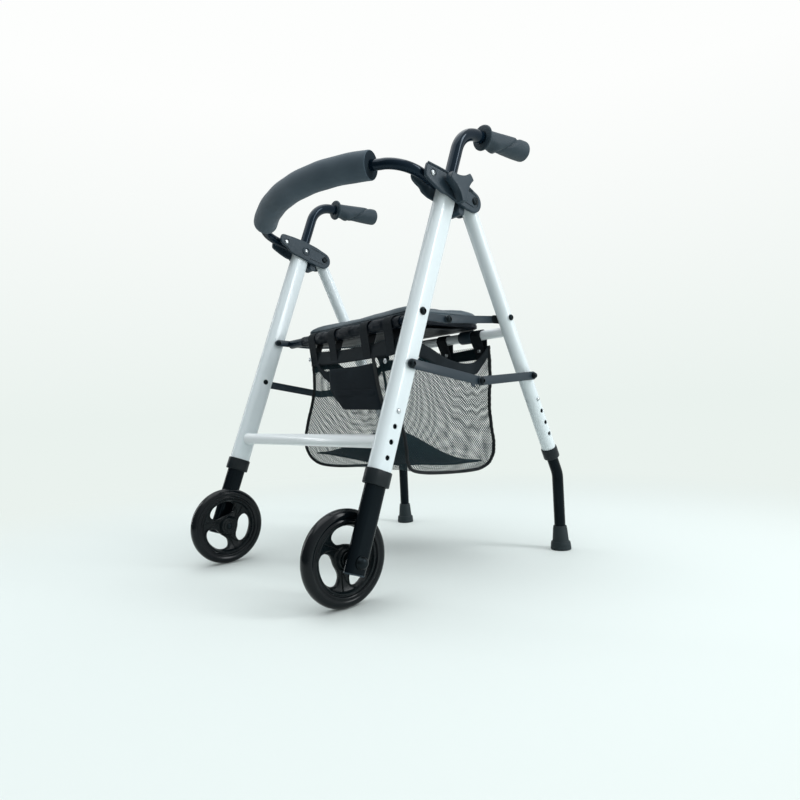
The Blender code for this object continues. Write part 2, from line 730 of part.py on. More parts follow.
def extension_plug(body, word, side):
    """Plastic cap in the foot of the front extension."""
    foot = WHEEL_RADIUS - EXTENSION_PAST_AXLE * math.cos(FRONT_LEAN)
    fit = (EXTENSION_LONG - LEG_WALL - GAP, EXTENSION_SHORT - LEG_WALL - GAP)
    rings = [
        front_ring(foot + 0.0070, *fit),
        front_ring(foot - GAP, *fit),
        front_ring(foot - GAP, EXTENSION_LONG, EXTENSION_SHORT),
        front_ring(foot - 0.0022, EXTENSION_LONG - 0.0008, EXTENSION_SHORT - 0.0008),
    ]
    body.solid(f"extension_plug_{word}", loft(rings), "dark_plastic", side)


def axle_bolt(body, word, side):
    """Axle: domed head inside the wheel, a spacer, and a domed nut outside the leg."""
    hub_in = WHEEL_X - 0.0135
    hub_out = WHEEL_X + 0.0135
    leg_in = SIDE_X - EXTENSION_SHORT - GAP
    leg_out = SIDE_X + EXTENSION_SHORT + GAP
    shaft = AXLE_RADIUS
    profile = (
        (hub_in - 0.0055, 0.0030),
        (hub_in - 0.0035, 0.0068),
        (hub_in - GAP, 0.0078),
        (hub_in - GAP, shaft),
        (hub_out + GAP, shaft),
        (hub_out + GAP, 0.0085),
        (leg_in, 0.0085),
        (leg_in, shaft),
        (leg_out, shaft),
        (leg_out, 0.0088),
        (leg_out + 0.0050, 0.0080),
        (leg_out + 0.0080, 0.0050),
    )
    bolt = turned(profile, (0, 0, WHEEL_RADIUS), X_AXIS, AXLE_SIDES)
    body.solid(f"axle_bolt_{word}", bolt, "dark_bolt", side)


def wheel_opening(turn):
    """One of the wheel's three openings: an annular sector with round corners."""
    middle, reach = OPENING_RADIUS, OPENING_REACH
    half_angle = OPENING_HALF_ANGLE
    count = 14
    outline = []
    for i in range(count):
        angle = 2 * math.pi * i / count
        across = math.copysign(abs(math.cos(angle)) ** 0.62, math.cos(angle))
        round_it = math.copysign(abs(math.sin(angle)) ** 0.62, math.sin(angle))
        radius = middle + reach * across
        at = turn + half_angle * round_it
        outline.append((radius * math.cos(at), WHEEL_RADIUS + radius * math.sin(at)))
    return slab(outline, (WHEEL_X - 0.03, WHEEL_X + 0.03), side_point)


def wheel_hub(body, word, side):
    """Moulded wheel centre: hub barrel, web with three openings, and rim."""
    half = (
        (-0.0135, HUB_BORE),
        (-0.0135, 0.0115),
        (-0.0115, 0.0165),
        (-WEB_HALF, 0.0210),
        (-WEB_HALF, 0.0490),
        (-0.0095, 0.0512),
        (-0.0095, RIM_RADIUS),
    )
    profile = [*half, *((-along, radius) for along, radius in reversed(half))]
    shape = turned(profile, (WHEEL_X, 0, WHEEL_RADIUS), X_AXIS, WHEEL_SIDES, turn=0.0, bored=True)
    hub = body.solid(f"wheel_hub_{word}", shape, "dark_plastic", side)
    openings = [wheel_opening(math.radians(WHEEL_TURN[word] + 120 * i)) for i in range(3)]
    body.cut(hub, shapes(*openings), side)


def tyre(body, word, side):
    """Solid tyre on the rim."""
    half = (
        (-0.0099, RIM_RADIUS + GAP),
        (-0.0116, 0.0590),
        (-TYRE_HALF_WIDTH, 0.0650),
        (-0.0104, 0.0713),
        (-0.0058, 0.0749),
    )
    profile = [*half, (0.0, WHEEL_RADIUS), *((-along, radius) for along, radius in reversed(half))]
    shape = turned(profile, (WHEEL_X, 0, WHEEL_RADIUS), X_AXIS, WHEEL_SIDES, turn=0.0, bored=True)
    body.solid(f"tyre_{word}", shape, "tyre_rubber", side)


def snap_button(body, name, y, z, tip_x, side):
    """Spring button with a flange inside the tube and a domed tip outside the leg."""
    base = tip_x - 0.0112
    profile = (
        (base, 0.0052),
        (base + 0.0018, 0.0052),
        (base + 0.0018, BUTTON_RADIUS),
        (tip_x - 0.0014, BUTTON_RADIUS),
        (tip_x, 0.0022),
    )
    body.solid(name, turned(profile, (0, y, z), X_AXIS, 10), "steel", side)


def rear_ring(z, radius, sides=12):
    """A round ring square to the rear leg."""
    return ring_at(rear_axis(z), circle(radius, sides), X_AXIS, REAR_ACROSS)


def rear_leg(body, word, side):
    """Round leg hung on the bracket's pivot pin, with four snap-button holes."""
    top = PIVOT_Z + 0.0100
    inner = REAR_RADIUS - REAR_WALL
    rings = [
        rear_ring(top - 0.004, inner),
        rear_ring(REAR_BOTTOM_Z, inner),
        rear_ring(REAR_BOTTOM_Z, REAR_RADIUS),
        rear_ring(top - 0.003, REAR_RADIUS),
        rear_ring(top + 0.001, REAR_RADIUS - 0.004),
    ]
    leg = body.solid(f"rear_leg_{word}", loft(rings), "white_tube", side)
    pin_in = PLATE_INNER_X[0] - GAP
    pin_out = PLATE_OUTER_X[1] + GAP
    profile = (
        (pin_in - 0.0018, 0.0052),
        (pin_in, 0.0062),
        (pin_in, 0.0035),
        (pin_out, 0.0035),
        (pin_out, 0.0062),
        (pin_out + 0.0018, 0.0052),
    )
    body.join(leg, turned(profile, (0, PIVOT_Y, PIVOT_Z), X_AXIS, 10), side)
    outside = (SIDE_X + 0.004, SIDE_X + 0.020)
    through = (SIDE_X - 0.020, SIDE_X + 0.020)
    heights = hole_heights(REAR_BUTTON_Z, REAR_LEAN)
    holes = [rod(outside, rear_axis(z).y, z, HOLE_RADIUS) for z in heights]
    pins = [rod(through, *point, PIN_RADIUS + GAP) for point in (UPPER_REAR, LOWER_REAR)]
    body.cut(leg, shapes(*holes, *pins), side)


def rear_collar(body, word, side):
    """Collar at the rear leg's foot, with a lip round the extension."""
    low_z, lip_z, top_z = 0.1889, 0.1925, 0.2092
    rings = [
        rear_ring(low_z, 0.0152),
        rear_ring(low_z + 0.001, 0.0159),
        rear_ring(top_z - 0.001, 0.0159),
        rear_ring(top_z, 0.0152),
        rear_ring(top_z, REAR_RADIUS + GAP),
        rear_ring(lip_z, REAR_RADIUS + GAP),
        rear_ring(lip_z, TUBE_RADIUS + 0.0005),
        rear_ring(low_z, TUBE_RADIUS + 0.0005),
    ]
    body.solid(f"rear_collar_{word}", loft(rings, True), "dark_plastic", side)


def rear_cross_tube(body):
    """Tube between the rear legs, coped to fit round them."""
    straight = rod((-SIDE_X, SIDE_X), *REAR_CROSS, REAR_CROSS_RADIUS, 16)
    tube = body.solid("rear_cross_tube", straight, "white_tube")
    cope = REAR_RADIUS + GAP
    for side, _ in SIDES:
        low, high = rear_axis(REAR_CROSS[1] - 0.04), rear_axis(REAR_CROSS[1] + 0.04)
        cutter = loft([ring_at(point, circle(cope, 20), X_AXIS, REAR_ACROSS) for point in (low, high)])
        body.cut(tube, cutter, side)


def rest_sleeve(body, word, side):
    """Sleeve on the rear cross tube that the seat board rests on."""
    x0, x1 = SLEEVE_X
    bore = REAR_CROSS_RADIUS + GAP
    profile = (
        (x0, SLEEVE_RADIUS - 0.001),
        (x0 + 0.001, SLEEVE_RADIUS),
        (x1 - 0.001, SLEEVE_RADIUS),
        (x1, SLEEVE_RADIUS - 0.001),
        (x1, bore),
        (x0, bore),
    )
    sleeve = turned(profile, (0, *REAR_CROSS), X_AXIS, 16, bored=True)
    body.solid(f"rest_sleeve_{word}", sleeve, "dark_plastic", side)


def rear_extension(body, word, side):
    """Tube that telescopes in the rear leg and bends upright to its foot."""
    bend_radius = 0.040
    corner_z = PIVOT_Z - (FOOT_Y - PIVOT_Y) / math.tan(REAR_LEAN)
    corner = rear_axis(corner_z)
    tangent = bend_radius * math.tan(REAR_LEAN / 2)
    start = corner + REAR_UP * tangent
    centre = start - REAR_ACROSS * bend_radius
    path = [rear_axis(REAR_TUBE_TOP_Z)]
    steps = 5
    for i in range(steps + 1):
        angle = REAR_LEAN * (1 - i / steps)
        path.append(centre + Vector((0, math.cos(angle), math.sin(angle))) * bend_radius)
    path.append(Vector((SIDE_X, FOOT_Y, 0.0070)))
    shape = swept(path, X_AXIS, [TUBE_RADIUS] * len(path), 12, bore=TUBE_RADIUS - TUBE_WALL)
    piece = body.solid(f"rear_extension_{word}", shape, "black_tube", side)
    outside = (SIDE_X + 0.002, SIDE_X + 0.020)
    hole = rod(outside, rear_axis(REAR_BUTTON_Z).y, REAR_BUTTON_Z, HOLE_RADIUS)
    body.cut(piece, hole, side)


def ferrule(body, word, side):
    """Rubber foot: a wide stepped base and a tapered sleeve."""
    bore = TUBE_RADIUS + GAP + 0.0002
    profile = (
        (0.0065, bore),
        (0.0480, bore),
        (0.0480, 0.0128),
        (0.0470, 0.0134),
        (0.0170, 0.0165),
        (0.0160, 0.0190),
        (0.0120, 0.0198),
        (0.0030, FOOT_RADIUS),
        (0.0, FOOT_RADIUS - 0.0010),
    )
    shape = turned(profile, (SIDE_X, FOOT_Y, 0), (0, 0, 1), 16)
    body.solid(f"ferrule_{word}", shape, "foot_rubber", side)


def link_outline(start, end, width):
    """Outline of a flat bar with round ends, as (y, z)."""
    a, b = Vector(start), Vector(end)
    heading = math.degrees(math.atan2(b.y - a.y, b.x - a.x))
    points = arc_points(b, width / 2, heading - 90, heading + 90, 5, skip_first=False)
    points += arc_points(a, width / 2, heading + 90, heading + 270, 5, skip_first=False)
    return points


def link_bar(body, name, ends, width, x_range, side):
    """A flat link between two pivots."""
    shape = slab(link_outline(*ends, width), x_range, side_point)
    return body.solid(name, shape, "dark_plastic", side)


def link_pin(body, link, pivot, bar_x, leg_x, side):
    """The pin of a link: head on the bar, washer against the leg, and a nut past the leg.

    bar_x is the bar's face away from the leg and leg_x the leg's near and far faces.
    """
    near, far = leg_x
    away = 1 if near < far else -1
    profile = (
        (bar_x - away * HEAD_THICK, HEAD_RADIUS - 0.0012),
        (bar_x, HEAD_RADIUS),
        (near - away * GAP, HEAD_RADIUS),
        (near - away * GAP, PIN_RADIUS),
        (far + away * GAP, PIN_RADIUS),
        (far + away * GAP, HEAD_RADIUS),
        (far + away * (GAP + HEAD_THICK), HEAD_RADIUS - 0.0012),
    )
    if away < 0:
        profile = tuple(reversed(profile))
    body.join(link, turned(profile, (0, *pivot), X_AXIS, 8), side)


def upper_front_link(body, word, side):
    """Link that carries the seat on the front leg."""
    ends = (UPPER_FRONT, UPPER_MIDDLE)
    link = link_bar(body, f"upper_front_link_{word}", ends, UPPER_WIDTH, UPPER_FRONT_X, side)
    leg = (SIDE_X - LEG_SHORT, SIDE_X + LEG_SHORT)
    link_pin(body, link, UPPER_FRONT, UPPER_FRONT_X[0], leg, side)
    x0 = UPPER_FRONT_X[0]
    head = ((x0 - HEAD_THICK, HEAD_RADIUS - 0.0012), (x0, HEAD_RADIUS), (x0 + 0.001, HEAD_RADIUS))
    body.join(link, turned(head, (0, *UPPER_MIDDLE), X_AXIS, 8), side)


def upper_rear_link(body, word, side):
    """Link from the rear leg to the seat's link."""
    ends = (UPPER_MIDDLE, UPPER_REAR)
    link = link_bar(body, f"upper_rear_link_{word}", ends, UPPER_WIDTH, UPPER_REAR_X, side)
    leg = (SIDE_X - REAR_RADIUS, SIDE_X + REAR_RADIUS)
    link_pin(body, link, UPPER_REAR, UPPER_REAR_X[0], leg, side)


def lower_front_link(body, word, side):
    """Brace link on the front leg, with a small stop under its rear end."""
    ends = (LOWER_FRONT, LOWER_MIDDLE)
    link = link_bar(body, f"lower_front_link_{word}", ends, LOWER_WIDTH, LOWER_FRONT_X, side)
    leg = (SIDE_X + LEG_SHORT, SIDE_X - LEG_SHORT)
    link_pin(body, link, LOWER_FRONT, LOWER_FRONT_X[1], leg, side)
    nib = [(0.2495, 0.3420), (0.2490, 0.3345), (0.2570, 0.3325), (0.2580, 0.3400)]
    body.join(link, slab(nib, (LOWER_FRONT_X[0] + 0.0004, LOWER_FRONT_X[1] - 0.0004), side_point), side)


def lower_rear_link(body, word, side):
    """Brace link on the rear leg."""
    ends = (LOWER_MIDDLE, LOWER_REAR)
    link = link_bar(body, f"lower_rear_link_{word}", ends, LOWER_WIDTH, LOWER_REAR_X, side)
    leg = (SIDE_X + REAR_RADIUS, SIDE_X - REAR_RADIUS)
    link_pin(body, link, LOWER_REAR, LOWER_REAR_X[1], leg, side)
    x1 = LOWER_REAR_X[1]
    head = ((x1 - 0.001, HEAD_RADIUS), (x1, HEAD_RADIUS), (x1 + HEAD_THICK, HEAD_RADIUS - 0.0012))
    body.join(link, turned(head, (0, *LOWER_MIDDLE), X_AXIS, 8), side)


def round_rectangle(half_width, front, rear, front_radius, rear_radius, corner_steps=4, side_steps=1):
    """Points of a rectangle with round corners as (x, y), anticlockwise."""
    corners = (
        (half_width - rear_radius, rear - rear_radius, rear_radius, 0),
        (-half_width + rear_radius, rear - rear_radius, rear_radius, 90),
        (-half_width + front_radius, front + front_radius, front_radius, 180),
        (half_width - front_radius, front + front_radius, front_radius, 270),
    )
    rounds = [
        arc_points((x, y), radius, start, start + 90, corner_steps, skip_first=False)
        for x, y, radius, start in corners
    ]
    points = []
    for i, corner in enumerate(rounds):
        points += corner
        last, following = Vector(corner[-1]), Vector(rounds[(i + 1) % 4][0])
        points += [tuple(last.lerp(following, k / side_steps)) for k in range(1, side_steps)]
    return points


def seat_tube(body):
    """Tube at the seat's front edge, between the upper front links."""
    end = UPPER_FRONT_X[0] - GAP
    body.solid("seat_tube", rod((-end, end), *SEAT_TUBE, SEAT_TUBE_RADIUS, 16), "black_tube")


def seat_board(body):
    """Board under the cushion, with three clamps round the seat tube."""
    low, high = BOARD_Z
    size = (SEAT_HALF_WIDTH - 0.003, SEAT_FRONT_Y, SEAT_REAR_Y - 0.002)
    wide = round_rectangle(*size, 0.012, 0.038)
    narrow = inset(wide, 0.001)
    levels = ((low, narrow), (low + 0.001, wide), (high, wide))
    shape = loft([[Vector((x, y, z)) for x, y in section] for z, section in levels])
    board = body.solid("seat_board", shape, "dark_plastic")
    clamp_radius = SEAT_TUBE_RADIUS + GAP + 0.0028
    y, z = SEAT_TUBE
    outline = arc_points((y, z), clamp_radius, 50, 310, 10, skip_first=False)
    outline += [(SEAT_FRONT_Y + 0.010, BOARD_Z[0] + 0.0005), (SEAT_FRONT_Y + 0.010, BOARD_Z[1] - 0.0005)]
    outline += [(SEAT_FRONT_Y - 0.0015, BOARD_Z[1] - 0.0005)]
    for middle in CLAMP_X:
        half = CLAMP_WIDTH / 2
        body.join(board, slab(outline, (middle - half, middle + half), side_point))
    body.cut(board, rod((-0.2, 0.2), *SEAT_TUBE, SEAT_TUBE_RADIUS + GAP, 16))


def seat_cushion(body):
    """Padded seat with a crown, drawn-in sides and a rear edge that drops a little."""
    low, high = CUSHION_Z
    size = (SEAT_HALF_WIDTH, SEAT_FRONT_Y, SEAT_REAR_Y)
    outline = round_rectangle(*size, 0.014, 0.040, corner_steps=5, side_steps=4)
    middle = Vector((0.0, (SEAT_FRONT_Y + SEAT_REAR_Y) / 2))

    def rear_drop(y):
        return 0.0050 * max(0.0, (y - 0.335) / (SEAT_REAR_Y - 0.335)) ** 2

    rise = high - low
    rows = ((0.0, 0.0030), (0.0, 0.0008), (0.35, 0.0), (0.58, 0.0012), (0.80, 0.0060), (0.90, 0.0160))
    rings = []
    for share, drawn_in in rows:
        section = inset(outline, drawn_in) if drawn_in else outline
        lift = 0.0015 if drawn_in == 0.0008 else 0.0
        rings.append([Vector((x, y, low + lift + share * rise - share * rear_drop(y))) for x, y in section])
    for scale, share in ((0.72, 0.96), (0.40, 1.0)):
        ring = []
        for x, y in outline:
            flat = middle + (Vector((x, y)) - middle) * scale
            ring.append(Vector((flat.x, flat.y, low + share * rise - share * rear_drop(flat.y))))
        rings.append(ring)
    body.solid("seat_cushion", loft(rings), "seat_vinyl")


def rim_height(y):
    """Height of the basket's rim at a place along Y."""
    points = BASKET_RIM
    for (y0, z0), (y1, z1) in zip(points, points[1:]):
        if y <= y1:
            share = max(0.0, (y - y0) / (y1 - y0))
            return z0 + (z1 - z0) * share
    return points[-1][1]


def basket_lean(z):
    """How far the slack bag stands over to the left at a height."""
    low, high = BASKET_LEAN_Z
    share = min(1.0, max(0.0, (z - low) / (high - low)))
    return BASKET_LEAN * share * share * (3 - 2 * share)


def basket_ring(size, wider, height):
    """A section of the bag, wider towards the rear, at the height that a place along Y has."""
    _, front, rear, _, _ = size
    ring = []
    for x, y in round_rectangle(*size, 3, 4):
        share = (y - front) / (rear - front)
        z = height(y, share)
        ring.append(Vector((x * (1 + wider * (share - 0.5)) + basket_lean(z), y, z)))
    return ring


def basket(body):
    """Bag with sagging sides and round lower corners, open at the top, with its strap tabs."""

    def rings(wall):
        found = []
        for i, (z, half, front, rear, radius, drop, wider) in enumerate(BASKET_LEVELS):
            low = z + (wall if i == 0 else 0.0)
            size = (half - wall, front + wall, rear - wall, radius - wall, radius - wall)
            found.append(basket_ring(size, wider, lambda y, share, z=low, d=drop: z - d * share))
        half, front, rear, radius, wider = BASKET_TOP
        size = (half - wall, front + wall, rear - wall, radius - wall, radius - wall)
        found.append(basket_ring(size, wider, lambda y, share: rim_height(y)))
        return found

    bag = body.solid("basket", loft(rings(0.0) + rings(BASKET_WALL)[::-1]), "mesh_cloth")
    half = STRAP_WIDTH / 2
    _, front, rear, _, _ = BASKET_TOP
    tabs = []
    for side, _ in SIDES:
        for x in FRONT_STRAPS_X:
            middle = side * x + STRAP_SHIFT
            x_range = (middle - half, middle + half)
            outline = [(front + 0.0002, 0.421), (front + 0.0028, 0.421)]
            outline += [(front + 0.0028, FRONT_STRAP_TOP), (front + 0.0002, FRONT_STRAP_TOP)]
            tabs.append(slab(outline, x_range, side_point))
        for x in REAR_STRAPS_X:
            middle = side * x + STRAP_SHIFT
            x_range = (middle - half, middle + half)
            outline = [(rear - 0.0028, 0.408), (rear - 0.0002, 0.408)]
            outline += [(rear - 0.0002, REAR_STRAP_TOP), (rear - 0.0028, REAR_STRAP_TOP)]
            tabs.append(slab(outline, x_range, side_point))
    body.join(bag, shapes(*tabs))


def basket_base(body):
    """Stiff board in the bottom of the bag."""
    z, half, front, rear, radius, drop, wider = BASKET_LEVELS[0]
    in_by = 0.005
    size = (half - in_by, front + in_by, rear - in_by, radius - in_by, radius - in_by)
    low = z + BASKET_WALL + GAP
    levels = (low, low + 0.003)
    shape = [basket_ring(size, wider, lambda y, share, z=level: z - drop * share) for level in levels]
    body.solid("basket_base", loft(shape), "base_board")


def build_front_frame():
    """The root body: front legs, brackets, backrest and basket."""
    frame = Body("front_frame", (0, 0, WHEEL_RADIUS))
    for side, word in SIDES:
        for piece in (front_leg, leg_bushing, front_collar, bracket_outer, bracket_inner, stop_wedge):
            piece(frame, word, side)
    front_crossbar(frame)
    backrest_bar(frame)
    backrest_pad(frame)
    basket(frame)
    basket_base(frame)
    return frame


def build_handles_and_knobs(frame):
    """What a side's bracket holds: the telescoping handle and the knob that locks it."""
    knob = bracket_point(SIDE_X, LEG_S, 0.0)
    for side, word in SIDES:
        handle = Body(f"handle_{word}", (side * SIDE_X, knob.y, knob.z), frame)
        handle_tube(handle, word, side)
        handle_grip(handle, word, side)
        turning = Body(f"knob_{word}", (side * KNOB_X[0], knob.y, knob.z), frame)
        lock_knob(turning, word, side)


def build_front_feet(frame):
    """Telescoping front extensions with their wheels and snap buttons."""
    button_y = front_axis(FRONT_BUTTON_Z).y
    for side, word in SIDES:
        extension = Body(f"extension_{word}", (side * SIDE_X, 0, WHEEL_RADIUS), frame)
        for piece in (front_extension, extension_plug, axle_bolt):
            piece(extension, word, side)
        wheel = Body(f"wheel_{word}", (side * WHEEL_X, 0, WHEEL_RADIUS), extension)
        wheel_hub(wheel, word, side)
        tyre(wheel, word, side)
        button = Body(f"front_snap_{word}", (side * SIDE_X, button_y, FRONT_BUTTON_Z), extension)
        snap_button(button, f"front_button_{word}", button_y, FRONT_BUTTON_Z, SIDE_X + 0.0155, side)


def build_rear_frame(frame):
    """The rear frame, which swings on the brackets, with its extensions and buttons."""
    rear = Body("rear_frame", (0, PIVOT_Y, PIVOT_Z), frame)
    button_y = rear_axis(REAR_BUTTON_Z).y
    rear_cross_tube(rear)
    for side, word in SIDES:
        for piece in (rear_leg, rear_collar, rest_sleeve):
            piece(rear, word, side)
        foot = Body(f"rear_foot_{word}", (side * SIDE_X, FOOT_Y, 0.0), rear)
        rear_extension(foot, word, side)
        ferrule(foot, word, side)
        button = Body(f"rear_snap_{word}", (side * SIDE_X, button_y, REAR_BUTTON_Z), foot)
        snap_button(button, f"rear_button_{word}", button_y, REAR_BUTTON_Z, SIDE_X + 0.0160, side)
    return rear


def build_seat_and_links(frame, rear):
    """The lift-up seat on its links, and the braces that fold with it."""
    seat = Body("seat", (0, *UPPER_FRONT), frame)
    seat_tube(seat)
    seat_board(seat)
    seat_cushion(seat)
    upper_rear = Body("upper_rear_links", (0, *UPPER_REAR), rear)
    lower_front = Body("lower_front_links", (0, *LOWER_FRONT), frame)
    lower_rear = Body("lower_rear_links", (0, *LOWER_REAR), rear)
    for side, word in SIDES:
        upper_front_link(seat, word, side)
        upper_rear_link(upper_rear, word, side)
        lower_front_link(lower_front, word, side)
        lower_rear_link(lower_rear, word, side)


def main():
    """Build the rollator at rest, standing open."""
    clear_scene()
    frame = build_front_frame()
    build_handles_and_knobs(frame)
    build_front_feet(frame)
    rear = build_rear_frame(frame)
    build_seat_and_links(frame, rear)


main()
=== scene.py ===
"""The folding rollator as it stands in the studio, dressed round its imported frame.

Metres, +Z up, the wheels towards -Y and the user's left side at +X. Every piece is drawn
for the left side in a design frame whose Y starts at the wheel axle; placing it shifts it
into the object's frame and mirrors it for the right side.
"""

from __future__ import annotations

import json
import logging
from collections.abc import Callable, Iterable, Sequence
from dataclasses import dataclass, field
from enum import Enum
from functools import cached_property
from math import acos, atan, atan2, copysign, cos, degrees, exp, hypot, pi, radians, sin, sqrt, tan

import bmesh
import bpy
from mathutils import Matrix, Vector, noise
from mathutils.bvhtree import BVHTree

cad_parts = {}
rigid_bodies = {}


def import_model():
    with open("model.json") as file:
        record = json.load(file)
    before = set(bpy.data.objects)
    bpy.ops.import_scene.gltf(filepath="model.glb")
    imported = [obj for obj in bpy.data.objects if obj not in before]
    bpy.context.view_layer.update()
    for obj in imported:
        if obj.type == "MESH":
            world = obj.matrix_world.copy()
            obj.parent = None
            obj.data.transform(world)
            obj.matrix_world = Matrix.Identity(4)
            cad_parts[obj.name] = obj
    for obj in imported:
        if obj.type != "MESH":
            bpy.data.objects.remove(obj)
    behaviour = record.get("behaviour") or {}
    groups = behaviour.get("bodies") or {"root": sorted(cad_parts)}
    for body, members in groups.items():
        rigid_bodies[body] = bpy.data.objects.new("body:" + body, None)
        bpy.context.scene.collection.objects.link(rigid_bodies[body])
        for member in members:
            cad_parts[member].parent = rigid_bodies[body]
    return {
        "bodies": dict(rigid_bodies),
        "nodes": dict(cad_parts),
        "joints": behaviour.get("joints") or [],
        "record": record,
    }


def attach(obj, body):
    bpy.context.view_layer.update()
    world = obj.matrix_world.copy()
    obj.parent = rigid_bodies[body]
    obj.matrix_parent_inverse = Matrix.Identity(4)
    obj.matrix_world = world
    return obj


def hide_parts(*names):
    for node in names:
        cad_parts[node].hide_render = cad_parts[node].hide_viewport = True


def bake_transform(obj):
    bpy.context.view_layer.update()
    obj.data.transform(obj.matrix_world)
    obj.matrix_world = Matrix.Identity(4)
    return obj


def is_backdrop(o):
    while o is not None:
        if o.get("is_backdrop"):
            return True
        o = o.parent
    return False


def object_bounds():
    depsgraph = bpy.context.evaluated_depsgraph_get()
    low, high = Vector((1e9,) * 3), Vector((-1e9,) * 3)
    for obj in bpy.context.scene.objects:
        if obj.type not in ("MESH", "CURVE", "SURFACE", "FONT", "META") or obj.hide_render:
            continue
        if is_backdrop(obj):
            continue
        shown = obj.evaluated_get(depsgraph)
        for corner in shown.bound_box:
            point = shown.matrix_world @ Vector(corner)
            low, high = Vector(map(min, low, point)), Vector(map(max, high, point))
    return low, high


LOG = logging.getLogger("rollator")
PAIR = tuple[float, float]
POINT = tuple[float, float, float]
Piece = bpy.types.Object
Tree = bpy.types.NodeTree
Node = bpy.types.Node
Socket = bpy.types.NodeSocket
Link = Node | Socket
MM = 1000
SHARP = radians(38.0)
X_AXIS = Vector((1.0, 0.0, 0.0))
Y_AXIS = Vector((0.0, 1.0, 0.0))
Z_AXIS = Vector((0.0, 0.0, 1.0))
AXLE_Y = (0.0757 - 0.5125 - 0.0205) / 2
AXLE_Z = 0.0757
SIDE_X = 0.2425
FRONT_LEAN = atan(0.3772)
REAR_LEAN = atan(0.462)
PIVOT = (0.2771, 0.6632)
BRACKET_RISE = radians(16.7)
LEG_S = 0.052
SEAT_TUBE = (0.178, 0.457)
REAR_CROSS = (0.3815, 0.4395)
TUBE_RADIUS = 0.0111
TUBE_WALL = 0.0015
HOLE_PITCH = 0.0254
HOLE_RADIUS = 0.0043
FRONT_BUTTON_Z = 0.2974
REAR_BUTTON_Z = 0.3076


class Side(Enum):
    """The user's left or right side."""

    LEFT = 1
    RIGHT = -1

    @property
    def word(self) -> str:
        """The word that ends the names of this side's pieces."""
        return self.name.lower()


# Directions of the two leg tubes and of the bracket
FRONT_ACROSS = Vector((0.0, cos(FRONT_LEAN), -sin(FRONT_LEAN)))
REAR_UP = Vector((0.0, -sin(REAR_LEAN), cos(REAR_LEAN)))
REAR_ACROSS = Vector((0.0, cos(REAR_LEAN), sin(REAR_LEAN)))
BRACKET_NORMAL = Vector((0.0, sin(BRACKET_RISE), cos(BRACKET_RISE)))


def front_axis(z: float) -> Vector:
    """The point of the left front leg's axis at a height."""
    return Vector((SIDE_X, tan(FRONT_LEAN) * (z - AXLE_Z), z))


def rear_axis(z: float) -> Vector:
    """The point of the left rear leg's axis at a height."""
    return Vector((SIDE_X, PIVOT[0] + tan(REAR_LEAN) * (PIVOT[1] - z), z))


def bracket_point(x: float, s: float, t: float) -> Vector:
    """A point in the bracket's directions: s forward from the pivot, t upward from it."""
    rise = BRACKET_RISE
    y = PIVOT[0] - s * cos(rise) + t * sin(rise)
    z = PIVOT[1] + s * sin(rise) + t * cos(rise)
    return Vector((x, y, z))


def side_point(x: float, y: float, z: float) -> Vector:
    """A point given directly as x, y and z."""
    return Vector((x, y, z))


def mm(table: str) -> list[tuple[float, ...]]:
    """Points in metres, from a table in millimetres with commas between the points."""
    return [tuple(round(float(part) / MM, 7) for part in point.split()) for point in table.split(",")]


def front_rings(levels: Iterable[tuple[float, Sequence[PAIR]]]) -> list[list[Vector]]:
    """Outlines at their heights round the front leg's axis, long across the leg."""
    return [[front_axis(z) + FRONT_ACROSS * a + X_AXIS * b for a, b in outline] for z, outline in levels]


def rear_rings(levels: Iterable[PAIR]) -> list[list[Vector]]:
    """Circles of (height, radius) round the rear leg's axis."""
    return [[rear_axis(z) + X_AXIS * a + REAR_ACROSS * b for a, b in circle(r, 44)] for z, r in levels]



def circle(radius: float, steps: int, turn: float = 0.0) -> list[PAIR]:
    """Points of a circle as (a, b)."""
    angles = [(i + turn) * 2 * pi / steps for i in range(steps)]
    return [(radius * cos(angle), radius * sin(angle)) for angle in angles]


def flat_oval(half_long: float, half_short: float, arc_steps: int = 16) -> list[PAIR]:
    """Points of a flat oval as (a, b), long along a."""
    straight = half_long - half_short
    points = []
    for sign, start in ((1, -90), (-1, 90)):
        for i in range(arc_steps + 1):
            angle = radians(start + 180 * i / arc_steps)
            along = sign * straight + half_short * cos(angle)
            points.append((along, half_short * sin(angle)))
    return points


def arc(centre: PAIR, radius: float, start: float, end: float, steps: int) -> list[PAIR]:
    """Points of an arc as (a, b), both ends included, with the angles in degrees."""
    angles = [radians(start + (end - start) * i / steps) for i in range(steps + 1)]
    return [(centre[0] + radius * cos(a), centre[1] + radius * sin(a)) for a in angles]


def round_off(points: Sequence, radius: float, steps: int = 4, closed: bool = False) -> list:
    """Round the corners of a line of points with short curves.

    Args:
        points: The corners, as pairs or vectors.
        radius: How far from each corner its curve starts.
        steps: The number of pieces in each curve.
        closed: Whether the last point joins the first.

    Returns:
        The points of the rounded line, of the kind that came in.
    """
    corners = [Vector(point) for point in points]
    count = len(corners)
    found = []
    for i, corner in enumerate(corners):
        if not closed and i in (0, count - 1):
            found.append(corner)
            continue
        back = corners[i - 1] - corner
        ahead = corners[(i + 1) % count] - corner
        first = corner + back.normalized() * min(radius, back.length * 0.48)
        last = corner + ahead.normalized() * min(radius, ahead.length * 0.48)
        for k in range(steps + 1):
            share = k / steps
            found.append(first.lerp(corner, share).lerp(corner.lerp(last, share), share))
    return found if len(corners[0]) == 3 else [tuple(point) for point in found]


